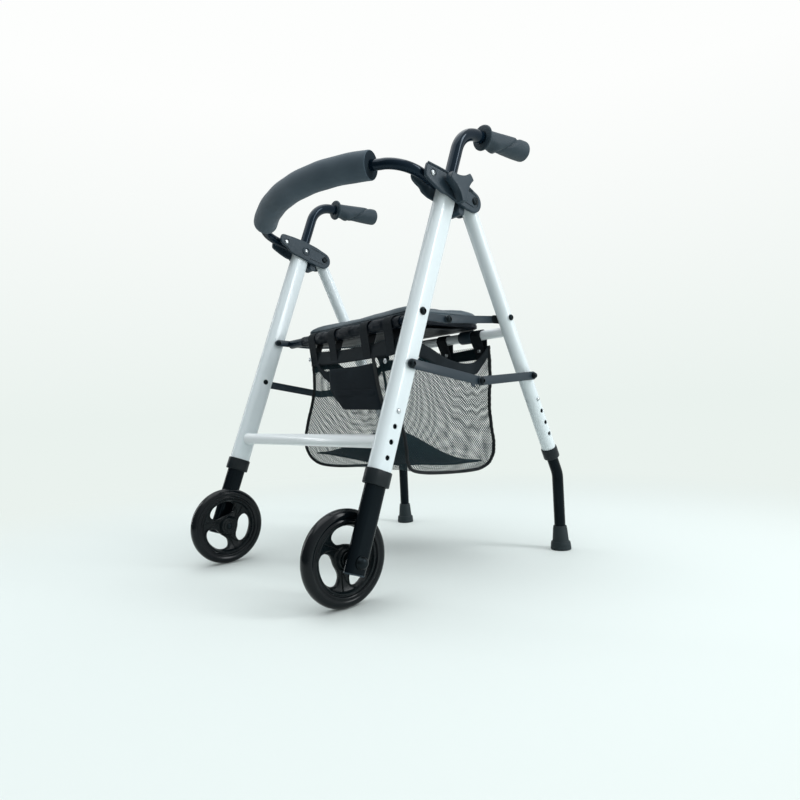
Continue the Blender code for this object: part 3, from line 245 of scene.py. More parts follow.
def inset(outline: Sequence[PAIR], distance: float) -> list[PAIR]:
    """An anticlockwise outline drawn in by a distance."""
    moved = []
    for i, (a, b) in enumerate(outline):
        before = Vector((a, b)) - Vector(outline[i - 1])
        after = Vector(outline[(i + 1) % len(outline)]) - Vector((a, b))
        along = (before.normalized() + after.normalized()).normalized()
        moved.append((a - along.y * distance, b + along.x * distance))
    return moved


def curve_through(points: Sequence[Sequence[float]], steps: int) -> list[Vector]:
    """A smooth line through the points, with a number of steps between each two."""
    line = [Vector(point) for point in points]
    ends = [line[0] * 2 - line[1], *line, line[-1] * 2 - line[-2]]
    found = [line[0]]
    for i in range(1, len(ends) - 2):
        p0, p1, p2, p3 = ends[i - 1 : i + 3]
        for k in range(1, steps + 1):
            t = k / steps
            found.append(
                (p1 * 2 + (p2 - p0) * t + (p0 * 2 - p1 * 5 + p2 * 4 - p3) * t**2
                 + (p1 * 3 - p0 - p2 * 3 + p3) * t**3) / 2
            )
    return found


def at_share(line: Sequence[Vector], share: float) -> Vector:
    """The point of a line of points at a share of its number of steps."""
    place = min(max(share, 0.0), 1.0) * (len(line) - 1)
    low = min(int(place), len(line) - 2)
    return line[low].lerp(line[low + 1], place - low)


def ease(value: float, low: float, high: float) -> float:
    """A smooth step from 0 at low to 1 at high."""
    share = min(1.0, max(0.0, (value - low) / (high - low)))
    return share * share * (3 - 2 * share)


@dataclass
class Shape:
    """Points and faces of one piece, drawn for the left side in the design frame."""

    points: list[Vector] = field(default_factory=list)
    faces: list[tuple[int, ...]] = field(default_factory=list)
    finish_of: list[int] = field(default_factory=list)
    uvs: dict[int, PAIR] = field(default_factory=dict)

    def skin(
        self, rings: Sequence[Sequence[Vector]], loop: bool = False, caps: bool = True, finish: int = 0
    ) -> Shape:
        """Add a closed skin over rings with as many points each.

        Args:
            rings: The rings, in order.
            loop: Whether the last ring joins the first.
            caps: Whether the end rings are filled.
            finish: The number of the finish among the piece's finishes.

        Returns:
            This shape, so that calls can follow each other.
        """
        base = len(self.points)
        count = len(rings[0])
        rows = [[base + r * count + i for i in range(count)] for r in range(len(rings))]
        self.points.extend(Vector(point) for ring in rings for point in ring)
        found = []
        for lower, upper in zip(rows, rows[1:] + (rows[:1] if loop else [])):
            for i in range(count):
                j = (i + 1) % count
                found.append((lower[i], lower[j], upper[j], upper[i]))
        if caps and not loop:
            found.append(tuple(reversed(rows[0])))
            found.append(tuple(rows[-1]))
        middle = self.points[base]
        volume = 0.0
        for face in found:
            a = self.points[face[0]] - middle
            for k in range(1, len(face) - 1):
                b, c = self.points[face[k]] - middle, self.points[face[k + 1]] - middle
                volume += a.dot(b.cross(c))
        if volume < 0:
            found = [tuple(reversed(face)) for face in found]
        self.faces.extend(found)
        self.finish_of.extend([finish] * len(found))
        return self

    def turned(
        self, profile: Sequence[PAIR], centre: Sequence[float], axis: Vector = X_AXIS,
        steps: int = 40, loop: bool = False, finish: int = 0, turn: float = 0.0,
    ) -> Shape:
        """Add a profile of (distance along the axis, radius) turned round an axis."""
        axis = axis.normalized()
        first = Y_AXIS if abs(axis.x) > 0.9 else axis.cross(X_AXIS).normalized()
        second = axis.cross(first)
        rings = []
        for along, radius in profile:
            middle = Vector(centre) + axis * along
            rings.append([middle + first * a + second * b for a, b in circle(radius, steps, turn)])
        return self.skin(rings, loop, finish=finish)

    def swept(
        self, path: Sequence[Vector], normal: Vector, section: Callable[[int], Sequence[PAIR]],
        wall: float = 0.0, caps: bool = True, finish: int = 0,
    ) -> Shape:
        """Add a section swept along a path.

        Args:
            path: The centre line.
            normal: A direction square to the path, or nearly so, where the section's a points.
            section: Gives the section at a point of the path, as (a, b).
            wall: The thickness of a hollow tube's wall, or 0.
            caps: Whether a solid sweep's ends are filled.
            finish: The number of the finish among the piece's finishes.

        Returns:
            This shape.
        """
        outer, inner = [], []
        for i, point in enumerate(path):
            before, after = path[max(i - 1, 0)], path[min(i + 1, len(path) - 1)]
            along = (after - before).normalized()
            up = (normal - along * normal.dot(along)).normalized()
            sideways = along.cross(up)
            outline = section(i)
            outer.append([point + up * a + sideways * b for a, b in outline])
            if wall:
                scale = 1 - wall / max(hypot(*pair) for pair in outline)
                inner.append([point + (up * a + sideways * b) * scale for a, b in outline])
        if wall:
            return self.skin(outer + inner[::-1], True, finish=finish)
        return self.skin(outer, caps=caps, finish=finish)

    def tube(
        self, path: Sequence[Vector], radius: float, normal: Vector = X_AXIS, wall: float = 0.0,
        steps: int = 32, finish: int = 0,
    ) -> Shape:
        """Add a round tube, or a round bar where there is no wall."""
        section = circle(radius, steps)
        return self.swept(path, normal, lambda _: section, wall, finish=finish)

    def plate(
        self, outline: Sequence[PAIR], x_range: PAIR, to_point: Callable[..., Vector] = side_point,
        edge: float = 0.0008, steps: int = 3, finish: int = 0,
    ) -> Shape:
        """Add a plate across X with rounded edges; the outline runs anticlockwise."""
        levels = []
        for i in range(steps + 1):
            angle = pi / 2 * i / steps
            levels.append((edge * (1 - cos(angle)), edge * (1 - sin(angle))))
        (x0, x1), back = x_range, levels[::-1]
        rings = [[to_point(x0 + off, a, b) for a, b in inset(outline, drawn_in)] for off, drawn_in in levels]
        rings += [[to_point(x1 - off, a, b) for a, b in inset(outline, drawn_in)] for off, drawn_in in back]
        return self.skin(rings, finish=finish)

    def sheet(self, rows: Sequence[Sequence[tuple[Vector, PAIR]]]) -> Shape:
        """Add an open sheet over rows of points, each with its place in metres on the flat cloth."""
        base, count = len(self.points), len(rows[0])
        for point, place in (pair for row in rows for pair in row):
            self.uvs[len(self.points)] = place
            self.points.append(Vector(point))
        for r in range(len(rows) - 1):
            for i in range(count - 1):
                low = base + r * count + i
                self.faces.append((low, low + 1, low + count + 1, low + count))
                self.finish_of.append(0)
        return self

    def ringed(
        self, path: Sequence[Vector], normal: Vector, section: Sequence[PAIR], finish: int = 0
    ) -> Shape:
        """Add a section swept round a closed path."""
        rings = []
        for i, point in enumerate(path):
            along = (path[(i + 1) % len(path)] - path[i - 1]).normalized()
            up = (normal - along * normal.dot(along)).normalized()
            sideways = along.cross(up)
            rings.append([point + up * a + sideways * b for a, b in section])
        return self.skin(rings, True, finish=finish)

    def placed(
        self, name: str, finishes: Sequence[Finish], side: Side = Side.LEFT, sharp: float = 38.0
    ) -> Piece:
        """Make the Blender object of this shape, in the object's frame, on its side."""
        mesh = bpy.data.meshes.new(name)
        points = [(p.x * side.value, p.y + AXLE_Y, p.z) for p in self.points]
        faces = self.faces if side is Side.LEFT else [tuple(reversed(face)) for face in self.faces]
        mesh.from_pydata(points, [], faces)
        for finish in finishes:
            mesh.materials.append(finish.material())
        mesh.polygons.foreach_set("material_index", self.finish_of)
        if self.uvs:
            layer = mesh.uv_layers.new(name="cloth")
            for loop in mesh.loops:
                layer.data[loop.index].uv = self.uvs.get(loop.vertex_index, (0.0, 0.0))
        mesh.validate()
        mesh.shade_smooth()
        mesh.set_sharp_from_angle(angle=radians(sharp))
        piece = bpy.data.objects.new(name, mesh)
        bpy.context.scene.collection.objects.link(piece)
        return piece

    def fitted(
        self, side: Side, name: str, finishes: Sequence[Finish], body: str, slot: str, *nodes: str,
        cutters: Sequence[Shape] = (), sharp: float = 38.0,
    ) -> Piece:
        """Place the shape, cut it, and let it ride on its body in the place of its nodes.

        In the name, the body and the nodes, {} stands for the side's word.
        """
        piece = self.placed(name.format(side.word), finishes, side, sharp)
        if cutters:
            cut(piece, cutters, side)
        return finish_piece(piece, body.format(side.word), [node.format(side.word) for node in nodes])



def rod(x_range: PAIR, y: float, z: float, radius: float, steps: int = 32) -> Shape:
    """A plain round bar along X, used as a cutter."""
    return Shape().turned([(x_range[0], radius), (x_range[1], radius)], (0, y, z), steps=steps)


def cut(piece: Piece, cutters: Iterable[Shape], side: Side, join: bool = False) -> None:
    """Cut shapes out of a piece's mesh, or join them on, and keep the result.

    Args:
        piece: The object whose mesh changes.
        cutters: The shapes, drawn for the left side.
        side: The side on which the piece stands.
        join: Whether the shapes are joined on rather than cut away.
    """
    for shape in cutters:
        tool = shape.placed("cutter", [], side)
        boolean = piece.modifiers.new("shape", "BOOLEAN")
        boolean.operation = "UNION" if join else "DIFFERENCE"
        boolean.solver = "EXACT"
        boolean.object = tool
        settle(piece)
        bpy.data.objects.remove(tool, do_unlink=True)
    piece.data.set_sharp_from_angle(angle=SHARP)


def settle(piece: Piece) -> None:
    """Apply a piece's modifiers to its mesh."""
    graph = bpy.context.evaluated_depsgraph_get()
    mesh = bpy.data.meshes.new_from_object(piece.evaluated_get(graph), depsgraph=graph)
    old = piece.data
    piece.modifiers.clear()
    piece.data = mesh
    bpy.data.meshes.remove(old)


# Finishes


def linear(hex_colour: str) -> tuple[float, float, float, float]:
    """Turn an sRGB hex colour into the linear colour that a shader takes."""
    parts = [int(hex_colour[i : i + 2], 16) / 255 for i in (1, 3, 5)]
    r, g, b = (c / 12.92 if c <= 0.04045 else ((c + 0.055) / 1.055) ** 2.4 for c in parts)
    return (r, g, b, 1.0)


def add_node(tree: Tree, kind: str, inputs: dict | None = None, **settings: object) -> Node:
    """Add a node with its settings, and set or link its inputs.

    Args:
        tree: The node tree.
        kind: The node's Blender type, without the ShaderNode that it starts with.
        inputs: Values, sockets, or nodes for their first output, by input name or number.
        settings: Values of the node's own properties.

    Returns:
        The new node.
    """
    node = tree.nodes.new(f"ShaderNode{kind}")
    for name, value in settings.items():
        setattr(node, name, value)
    for socket, value in (inputs or {}).items():
        if isinstance(value, Node):
            value = value.outputs[0]
        if isinstance(value, Socket):
            tree.links.new(value, node.inputs[socket])
        else:
            node.inputs[socket].default_value = value
    return node


def maths(tree: Tree, operation: str, *values: Link | float, clamp: bool = False) -> Node:
    """Add a node that works out its values."""
    return add_node(tree, "Math", dict(enumerate(values)), operation=operation, use_clamp=clamp)


@dataclass(frozen=True)
class Finish:
    """A surface: its colour and how rough, metallic and coated it is."""

    name: str
    colour: str
    roughness: float
    metallic: float = 0.0
    coat: float = 0.0
    coat_roughness: float = 0.05
    sheen: float = 0.0
    specular: float = 0.5
    # tint colours the specular reflection; the black enamels use it for a painted bluish reflection of the
    # surroundings.
    tint: str = "#ffffff"

    def material(self) -> bpy.types.Material:
        """The material, made once."""
        made = bpy.data.materials.get(self.name)
        if made:
            return made
        made = bpy.data.materials.new(self.name)
        made.use_nodes = True
        surface = made.node_tree.nodes["Principled BSDF"]
        values = {
            "Base Color": linear(self.colour), "Roughness": self.roughness, "Metallic": self.metallic,
            "IOR": 1.5, "Coat Weight": self.coat, "Coat Roughness": self.coat_roughness,
            "Sheen Weight": self.sheen, "Specular IOR Level": self.specular,
            "Specular Tint": linear(self.tint),
        }
        for socket, value in values.items():
            surface.inputs[socket].default_value = value
        self.detail(made.node_tree, surface)
        return made

    def detail(self, tree: Tree, surface: Node) -> None:
        """Add the finish's pattern to the plain surface."""

    def place(self, tree: Tree) -> Socket:
        """The point on the object, in metres."""
        return add_node(tree, "TexCoord").outputs["Object"]

    def noise(self, tree: Tree, scale: float, detail: float, place: Link | None = None) -> Node:
        """Soft noise over the object, or over a place that is given."""
        return add_node(tree, "TexNoise", {0: place or self.place(tree), "Scale": scale, "Detail": detail})

    def vary(self, tree: Tree, surface: Node, factor: Link, other: str) -> None:
        """Blend the base colour towards another one."""
        inputs = {0: factor, 6: linear(self.colour), 7: linear(other)}
        mixed = add_node(tree, "Mix", inputs, data_type="RGBA")
        tree.links.new(mixed.outputs[2], surface.inputs["Base Color"])

    def patch(
        self, tree: Tree, surface: Node, other: str, grain: PAIR, start: PAIR, share: float
    ) -> Node:
        """Let another colour show in soft patches.

        Args:
            tree: The material's node tree.
            surface: The material's shader.
            other: The patches' colour.
            grain: The patches' scale per metre, and their detail.
            start: The noise at which a patch begins, and at which it is full.
            share: How much of the other colour a full patch holds.

        Returns:
            The noise that makes the patches.
        """
        cloud = self.noise(tree, *grain)
        inputs = {0: cloud, "From Min": start[0], "From Max": start[1], "To Max": share}
        self.vary(tree, surface, add_node(tree, "MapRange", inputs), other)
        return cloud

    def roughen(self, tree: Tree, surface: Node, factor: Link, low: float, high: float) -> None:
        """Let the roughness run from low to high with a pattern."""
        spread = add_node(tree, "MapRange", {"Value": factor, "To Min": low, "To Max": high})
        tree.links.new(spread.outputs[0], surface.inputs["Roughness"])

    def emboss(
        self, tree: Tree, surface: Node, height: Link, depth_mm: float, strength: float = 1.0
    ) -> None:
        """Raise and lower the surface by a pattern of that depth."""
        bump = add_node(
            tree, "Bump", {"Height": height, "Distance": depth_mm / MM, "Strength": strength}
        )
        tree.links.new(bump.outputs[0], surface.inputs["Normal"])


@dataclass(frozen=True)
class Enamel(Finish):
    """Baked powder paint on an aluminium tube.

    The powder flows out to a hard even film with a faint orange peel, so the eye sees a
    clear reflection with slightly wavering edges.
    """

    shade: str = "#c9d4d6"
    peel_mm: float = 3.0
    peel_depth_mm: float = 0.02
    streaks: float = 0.0

    def detail(self, tree: Tree, surface: Node) -> None:
        """Add the orange peel, slow shifts of tone and, where tubes slide, fine rub marks."""
        self.patch(tree, surface, self.shade, (14.0, 3.0), (0.35, 0.75), 0.3)
        self.emboss(tree, surface, self.noise(tree, MM / self.peel_mm, 1.0), self.peel_depth_mm)
        if self.streaks:
            drawn = add_node(tree, "Mapping", {"Vector": self.place(tree), "Scale": (900.0, 500.0, 12.0)})
            rub = self.noise(tree, 1.0, 2.0, drawn)
            self.roughen(tree, surface, rub, self.roughness, self.roughness + self.streaks)


@dataclass(frozen=True)
class Moulded(Finish):
    """Injection-moulded nylon or ABS with a spark-eroded grain.

    The grain breaks up reflections into a soft satin, and edges that hands and straps rub
    turn a little smoother and lighter.
    """

    rubbed: str = "#56636a"
    grain_mm: float = 0.9
    grain_depth_mm: float = 0.03

    def detail(self, tree: Tree, surface: Node) -> None:
        """Add the moulding grain and the rubbed places; 0.4 mm grain is drawn at 0.9 mm."""
        inputs = {"Vector": self.place(tree), "Scale": MM / self.grain_mm}
        grain = add_node(tree, "TexVoronoi", inputs, feature="SMOOTH_F1")
        self.emboss(tree, surface, grain, self.grain_depth_mm)
        rubbed = self.patch(tree, surface, self.rubbed, (55.0, 4.0), (0.48, 0.78), 0.35)
        self.roughen(tree, surface, rubbed, self.roughness + 0.08, self.roughness - 0.08)


@dataclass(frozen=True)
class Rubber(Finish):
    """Compression-moulded rubber: close and dark, with a bloom that greys it in patches."""

    bloom: str = "#3a4548"
    pore_mm: float = 1.4
    pore_depth_mm: float = 0.03

    def detail(self, tree: Tree, surface: Node) -> None:
        """Add the bloom and the fine pores."""
        cloud = self.patch(tree, surface, self.bloom, (38.0, 5.0), (0.4, 0.8), 0.35)
        self.roughen(tree, surface, cloud, self.roughness - 0.05, self.roughness + 0.1)
        self.emboss(tree, surface, self.noise(tree, MM / self.pore_mm, 2.0), self.pore_depth_mm)


@dataclass(frozen=True)
class Plated(Finish):
    """Zinc-plated or blackened steel fastener, drawn and tumbled, with small rub marks."""

    mark_mm: float = 2.0

    def detail(self, tree: Tree, surface: Node) -> None:
        """Add the tumbling marks."""
        marks = self.noise(tree, MM / self.mark_mm, 3.0)
        self.roughen(tree, surface, marks, self.roughness - 0.06, self.roughness + 0.12)
        self.emboss(tree, surface, marks, 0.01)


@dataclass(frozen=True)
class Foam(Finish):
    """Closed-cell foam sleeve with a cut skin: matte, with fine open cells and soft dents."""

    light: str = "#4f5d64"
    cell_mm: float = 1.6

    def detail(self, tree: Tree, surface: Node) -> None:
        """Add the cells, drawn at 1.6 mm so that they show, and a slow change of tone."""
        cells = add_node(tree, "TexVoronoi", {"Vector": self.place(tree), "Scale": MM / self.cell_mm})
        self.vary(tree, surface, self.noise(tree, 20.0, 4.0), self.light)
        self.emboss(tree, surface, cells, 0.1, 0.7)


@dataclass(frozen=True)
class Cloth(Finish):
    """Plain-woven coated polyester, or narrow webbing, with its threads raised."""

    thread_mm: float = 1.5
    depth_mm: float = 0.1
    light: str = "#59666d"
    crease_mm: float = 0.0
    flat_cut: bool = False

    def place(self, tree: Tree) -> Socket:
        """The point on the flat cloth where it was cut from a sheet, or else on the object."""
        if self.flat_cut:
            return add_node(tree, "UVMap", uv_map="cloth").outputs[0]
        return super().place(tree)

    def detail(self, tree: Tree, surface: Node) -> None:
        """Add the weave; 0.5 mm threads are drawn at 1.5 mm so that they show at all."""
        place = self.place(tree)
        parts = add_node(tree, "SeparateXYZ", {"Vector": place})
        waves = []
        for across in parts.outputs:
            turns = maths(tree, "MULTIPLY", across, pi * MM / self.thread_mm)
            waves.append(maths(tree, "SINE", turns))
        height = maths(tree, "ADD", maths(tree, "MULTIPLY", waves[0], waves[1]), waves[2])
        self.patch(tree, surface, self.light, (26.0, 5.0), (0.35, 0.75), 0.6)
        if self.crease_mm:
            drawn = add_node(tree, "Mapping", {"Vector": place, "Scale": (18.0, 95.0, 95.0)})
            inputs = {"Vector": drawn, "Scale": 1.0, "Detail": 4.0, "Distortion": 0.8}
            crease = add_node(tree, "TexNoise", inputs)
            height = maths(tree, "MULTIPLY_ADD", crease, self.crease_mm / self.depth_mm, height)
        self.emboss(tree, surface, height, self.depth_mm)


@dataclass(frozen=True)
class OpenMesh(Finish):
    """Warp-knitted polyester net: dark threads round small diamond holes that show what is behind.

    The real holes are about 1.2 mm apart. They are drawn 4 mm apart on the bias, in rows
    2.8 mm apart, which the eye still makes out at this distance.
    """

    pitch_mm: float = 4.0
    thread_share: float = 0.55
    edge: float = 0.18
    relief_mm: float = 0.2

    def detail(self, tree: Tree, surface: Node) -> None:
        """Open the holes through the surface's alpha, and round the threads."""
        parts = add_node(tree, "SeparateXYZ", {0: add_node(tree, "UVMap", uv_map="cloth")})
        waves = []
        for operation in ("ADD", "SUBTRACT"):
            bias = maths(tree, operation, parts.outputs[0], parts.outputs[1])
            turns = maths(tree, "MULTIPLY", bias, sqrt(2) * pi * MM / self.pitch_mm)
            waves.append(maths(tree, "COSINE", turns))
        both = maths(tree, "ADD", *waves)
        level = 2.0 * self.thread_share - 1.25
        inputs = {0: both, "From Min": level - self.edge, "From Max": level + self.edge}
        solid = add_node(tree, "MapRange", {**inputs, "To Min": 1.0, "To Max": 0.0})
        tree.links.new(solid.outputs[0], surface.inputs["Alpha"])
        self.emboss(tree, surface, both, self.relief_mm)


WHITE_ENAMEL = Enamel("white_powder_enamel", "#e4edf0", 0.26, coat=0.6, coat_roughness=0.1, shade="#dbe5e9")
# A lighter copy of the white enamel for the cross tubes: painted light that stands in for light from above
# and in front.
BAR_ENAMEL_PAINTED_LIGHT = Enamel("bright_white_enamel", "#f1f6f8", 0.3, coat=0.5, coat_roughness=0.12, shade="#e9f0f2")
# The bluish specular tints on the black enamels are painted reflection of bluish surroundings.
BLACK_ENAMEL = Enamel("black_gloss_enamel", "#0a1722", 0.07, specular=0.28, shade="#111f2c", tint="#bcd3e8")
SLIDING_ENAMEL = Enamel(
    "black_sliding_enamel", "#070c10", 0.06, specular=0.14, shade="#0e161b", streaks=0.03, tint="#c3dbe8"
)
BRACKET_NYLON = Moulded("slate_bracket_nylon", "#2a3943", 0.42, rubbed="#35444e", specular=0.3)
COLLAR_NYLON = Moulded("black_collar_nylon", "#111a1e", 0.34, rubbed="#1b262a", specular=0.25)
GRIP_PLASTIC = Moulded("slate_grip_plastic", "#2b3942", 0.5, rubbed="#34434d", grain_mm=1.2, specular=0.3)
LINK_NYLON = Moulded("slate_link_nylon", "#26333c", 0.34, rubbed="#303f48", specular=0.35)
WHEEL_NYLON = Moulded("black_wheel_nylon", "#0c1417", 0.28, rubbed="#151e21", specular=0.22)
TYRE_RUBBER = Rubber("black_tyre_rubber", "#080e12", 0.12, specular=0.22, bloom="#12191c")
FOOT_RUBBER = Rubber("grey_foot_rubber", "#1d282b", 0.6, specular=0.3, bloom="#2a363a")
BRIGHT_STEEL = Plated("plated_steel", "#c8cdd0", 0.24, metallic=1.0)
DARK_STEEL = Plated("blackened_steel", "#202629", 0.36, metallic=1.0)
SLEEVE_FOAM = Foam("slate_sleeve_foam", "#3b4953", 0.82, sheen=0.15, specular=0.3, light="#4e5d68")
# Darker colour for the cut ends: partly the open cut cells' own darkness, mostly painted shade where the end
# faces turn away from the light.
SLEEVE_CUT_PAINTED_SHADE = Foam("slate_foam_cut", "#1c252c", 0.95, specular=0.1, light="#28333b")
SEAT_CLOTH = Cloth(
    "slate_seat_cloth", "#3a4a53", 0.58, sheen=0.15, specular=0.35, light="#475861", depth_mm=0.12
)
COVER_CLOTH = Cloth(
    "black_cover_cloth", "#091119", 0.42, specular=0.13, light="#111b24", depth_mm=0.05, crease_mm=0.8
)
WEBBING = Cloth("black_webbing", "#11181d", 0.72, specular=0.2, light="#192228", thread_mm=1.2)
BAND_CLOTH = Cloth(
    "black_band_webbing", "#131b20", 0.68, specular=0.2, light="#1b252b", thread_mm=1.4, flat_cut=True
)
POUCH_CLOTH = Cloth("black_pouch_cloth", "#131b21", 0.8, specular=0.15, light="#1a242b", thread_mm=1.3)
BASE_CLOTH = Cloth(
    "black_base_cloth", "#182227", 0.78, specular=0.15, light="#212d33", thread_mm=1.5, flat_cut=True
)
PIPING_CLOTH = Cloth("black_piping_tape", "#0b1114", 0.6, specular=0.25, light="#131b1f", thread_mm=1.0)
BAG_MESH = OpenMesh("dark_knitted_mesh", "#152e34", 0.75, specular=0.15)


# Fasteners


def bolt_head(
    shape: Shape, x: float, y: float, z: float, outward: int, radius: float = 0.0056, washer: float = 0.0,
    rise: float = 0.0026, finish: int = 0,
) -> None:
    """Add a domed socket bolt head that stands on a face across X.

    Args:
        shape: The shape that gets the head.
        x: Where the head's underside is.
        y: The bolt's place.
        z: The bolt's place.
        outward: 1 where the head points to +X, -1 where it points to -X.
        radius: The head's radius.
        washer: The washer's radius, or 0 for none.
        rise: The dome's height.
        finish: The number of the finish.
    """
    if washer:
        rim = [(0.0, washer - 0.0003), (0.0004, washer), (0.0009, washer)]
        rim += [(0.0012, washer - 0.0004), (0.0012, 1e-5)]
        shape.turned([(outward * a, r) for a, r in rim], (x, y, z), finish=finish)
    start = 0.0012 if washer else 0.0
    dome = [
        (0.0, 0.98), (0.15, 1.0), (0.46, 0.93), (0.77, 0.76), (1.0, 0.52), (1.0, 0.46), (0.5, 0.42),
        (0.5, 1e-3),
    ]
    shape.turned([(outward * (start + rise * a), radius * r) for a, r in dome], (x, y, z), finish=finish)


def dome_nut(
    shape: Shape, x: float, y: float, z: float, outward: int, radius: float = 0.006, finish: int = 0
) -> None:
    """Add a cap nut: six flats and a pointed dome."""
    base = [(0.0, radius * 1.05), (0.0032, radius * 1.05), (0.0038, radius * 0.92)]
    shape.turned([(outward * a, r) for a, r in base], (x, y, z), steps=6, finish=finish)
    dome = [
        (0.003, radius * 0.9), (0.0044, radius * 0.86), (0.0058, radius * 0.7),
        (0.0068, radius * 0.45), (0.0074, radius * 0.15), (0.0075, 1e-5),
    ]
    shape.turned([(outward * a, r) for a, r in dome], (x, y, z), finish=finish)


def finish_piece(
    piece: Piece, body: str, nodes: Sequence[str] = ()
) -> Piece:
    """Let a piece ride on its body and hide the nodes that it stands for."""
    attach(piece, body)
    if nodes:
        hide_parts(*nodes)
    LOG.info("%s rides on %s", piece.name, body)
    return piece


def dress_node(frame: dict, node: str, finish: Finish, edge: float = 0.0006) -> None:
    """Give a node that stays its finish, softened edges and smooth shading."""
    piece = frame["nodes"][node]
    piece.data.materials.clear()
    piece.data.materials.append(finish.material())
    bevel = piece.modifiers.new("soft_edge", "BEVEL")
    bevel.width = edge
    bevel.segments = 2
    bevel.limit_method = "ANGLE"
    bevel.angle_limit = SHARP
    bevel.harden_normals = False
    piece.data.shade_smooth()
    piece.data.set_sharp_from_angle(angle=SHARP)
    LOG.info("%s dressed in %s", node, finish.name)


def button_hole(centre: Vector, inside: float) -> Shape:
    """A cutter for a snap button's hole, from that far beyond the leg's axis outward."""
    return rod((SIDE_X + inside, SIDE_X + 0.02), centre.y, centre.z, HOLE_RADIUS)


@dataclass
class SideLegs:
    """The two white legs of a side, with their collars and the snap-button holes."""

    long_half: float = 0.021
    short_half: float = 0.01325
    front_bottom: float = 0.189
    rear_radius: float = 0.0138
    rear_bottom: float = 0.1935
    rivet_x: PAIR = (0.2218 - 0.0003, 0.2632 + 0.0003)

    def build(self, side: Side) -> None:
        """Build one side's legs and collars."""
        for pieces in (self.front_leg, self.rear_leg, self.collars):
            pieces(side)

    def front_leg(self, side: Side) -> None:
        """The flat-oval leg, with four holes in its outer face."""
        top, bottom = bracket_point(SIDE_X, LEG_S, 0.012).z, self.front_bottom
        outer, rounded, inner = (
            flat_oval(self.long_half - less, self.short_half - less) for less in (0.0, 0.0006, TUBE_WALL)
        )
        levels = [(bottom, outer), (top - 0.0006, outer), (top, rounded), (top, inner), (bottom, inner)]
        heights = [FRONT_BUTTON_Z - i * HOLE_PITCH * cos(FRONT_LEAN) for i in range(4)]
        Shape().skin(front_rings(levels), True).fitted(
            side, "front_leg_tube_{}", [WHITE_ENAMEL, DARK_STEEL], "front_frame", "white_tube",
            "front_leg_{}",
            cutters=[button_hole(front_axis(z), 0.006) for z in heights],
        )

    def rear_leg(self, side: Side) -> None:
        """The round rear leg with its pivot pin."""
        top, bottom, radius = PIVOT[1] + 0.01, self.rear_bottom, self.rear_radius
        levels = [
            (top - 0.004, radius - TUBE_WALL), (bottom, radius - TUBE_WALL), (bottom, radius),
            (top - 0.003, radius), (top, radius - 0.0015), (top + 0.001, radius - 0.004),
        ]
        heights = [REAR_BUTTON_Z - i * HOLE_PITCH * cos(REAR_LEAN) for i in range(4)]
        Shape().skin(rear_rings(levels)).fitted(
            side, "rear_leg_tube_{}", [WHITE_ENAMEL, DARK_STEEL], "rear_frame", "white_tube",
            "rear_leg_{}",
            cutters=[button_hole(rear_axis(z), 0.004) for z in heights],
        )
        head = mm("0 6.2, 0.6 6.4, 1.4 5.6, 1.9 3.6, 1.2 3, 1.2 0.01")
        pin = Shape()
        for x, outward in zip(reversed(self.rivet_x), (1, -1)):
            pin.turned([(outward * a, r) for a, r in head], (x, *PIVOT))
        pin.turned([(x, 0.0034) for x in self.rivet_x], (0, *PIVOT))
        pin.fitted(side, "pivot_rivet_{}", [DARK_STEEL], "rear_frame", "dark_bolt")

    def collars(self, side: Side) -> None:
        """Moulded collars round the feet of the two legs."""
        levels = mm(
            "184.5 22.6 13.8, 184.9 23.2 14.4, 186 23.6 14.8, 205.5 23.6 14.8, 206.6 23.3 14.5, "
            "207 22.7 13.9, 207 21.3 13.55, 188 21.3 13.55, 188 19 11, 184.5 19 11"
        )
        collar = Shape().skin(front_rings([(z, flat_oval(long, short)) for z, long, short in levels]), True)
        collar.fitted(
            side, "front_leg_collar_{}", [COLLAR_NYLON], "front_frame", "dark_plastic", "front_collar_{}"
        )
        levels = mm(
            "188.9 15, 189.3 15.5, 190.2 15.9, 207.8 15.9, 208.8 15.6, 209.2 15.1, 209.2 14.1, "
            "192.5 14.1, 192.5 11.6, 188.9 11.6"
        )
        collar = Shape().skin(rear_rings(levels), True)
        collar.fitted(
            side, "rear_leg_collar_{}", [COLLAR_NYLON], "rear_frame", "dark_plastic", "rear_collar_{}"
        )


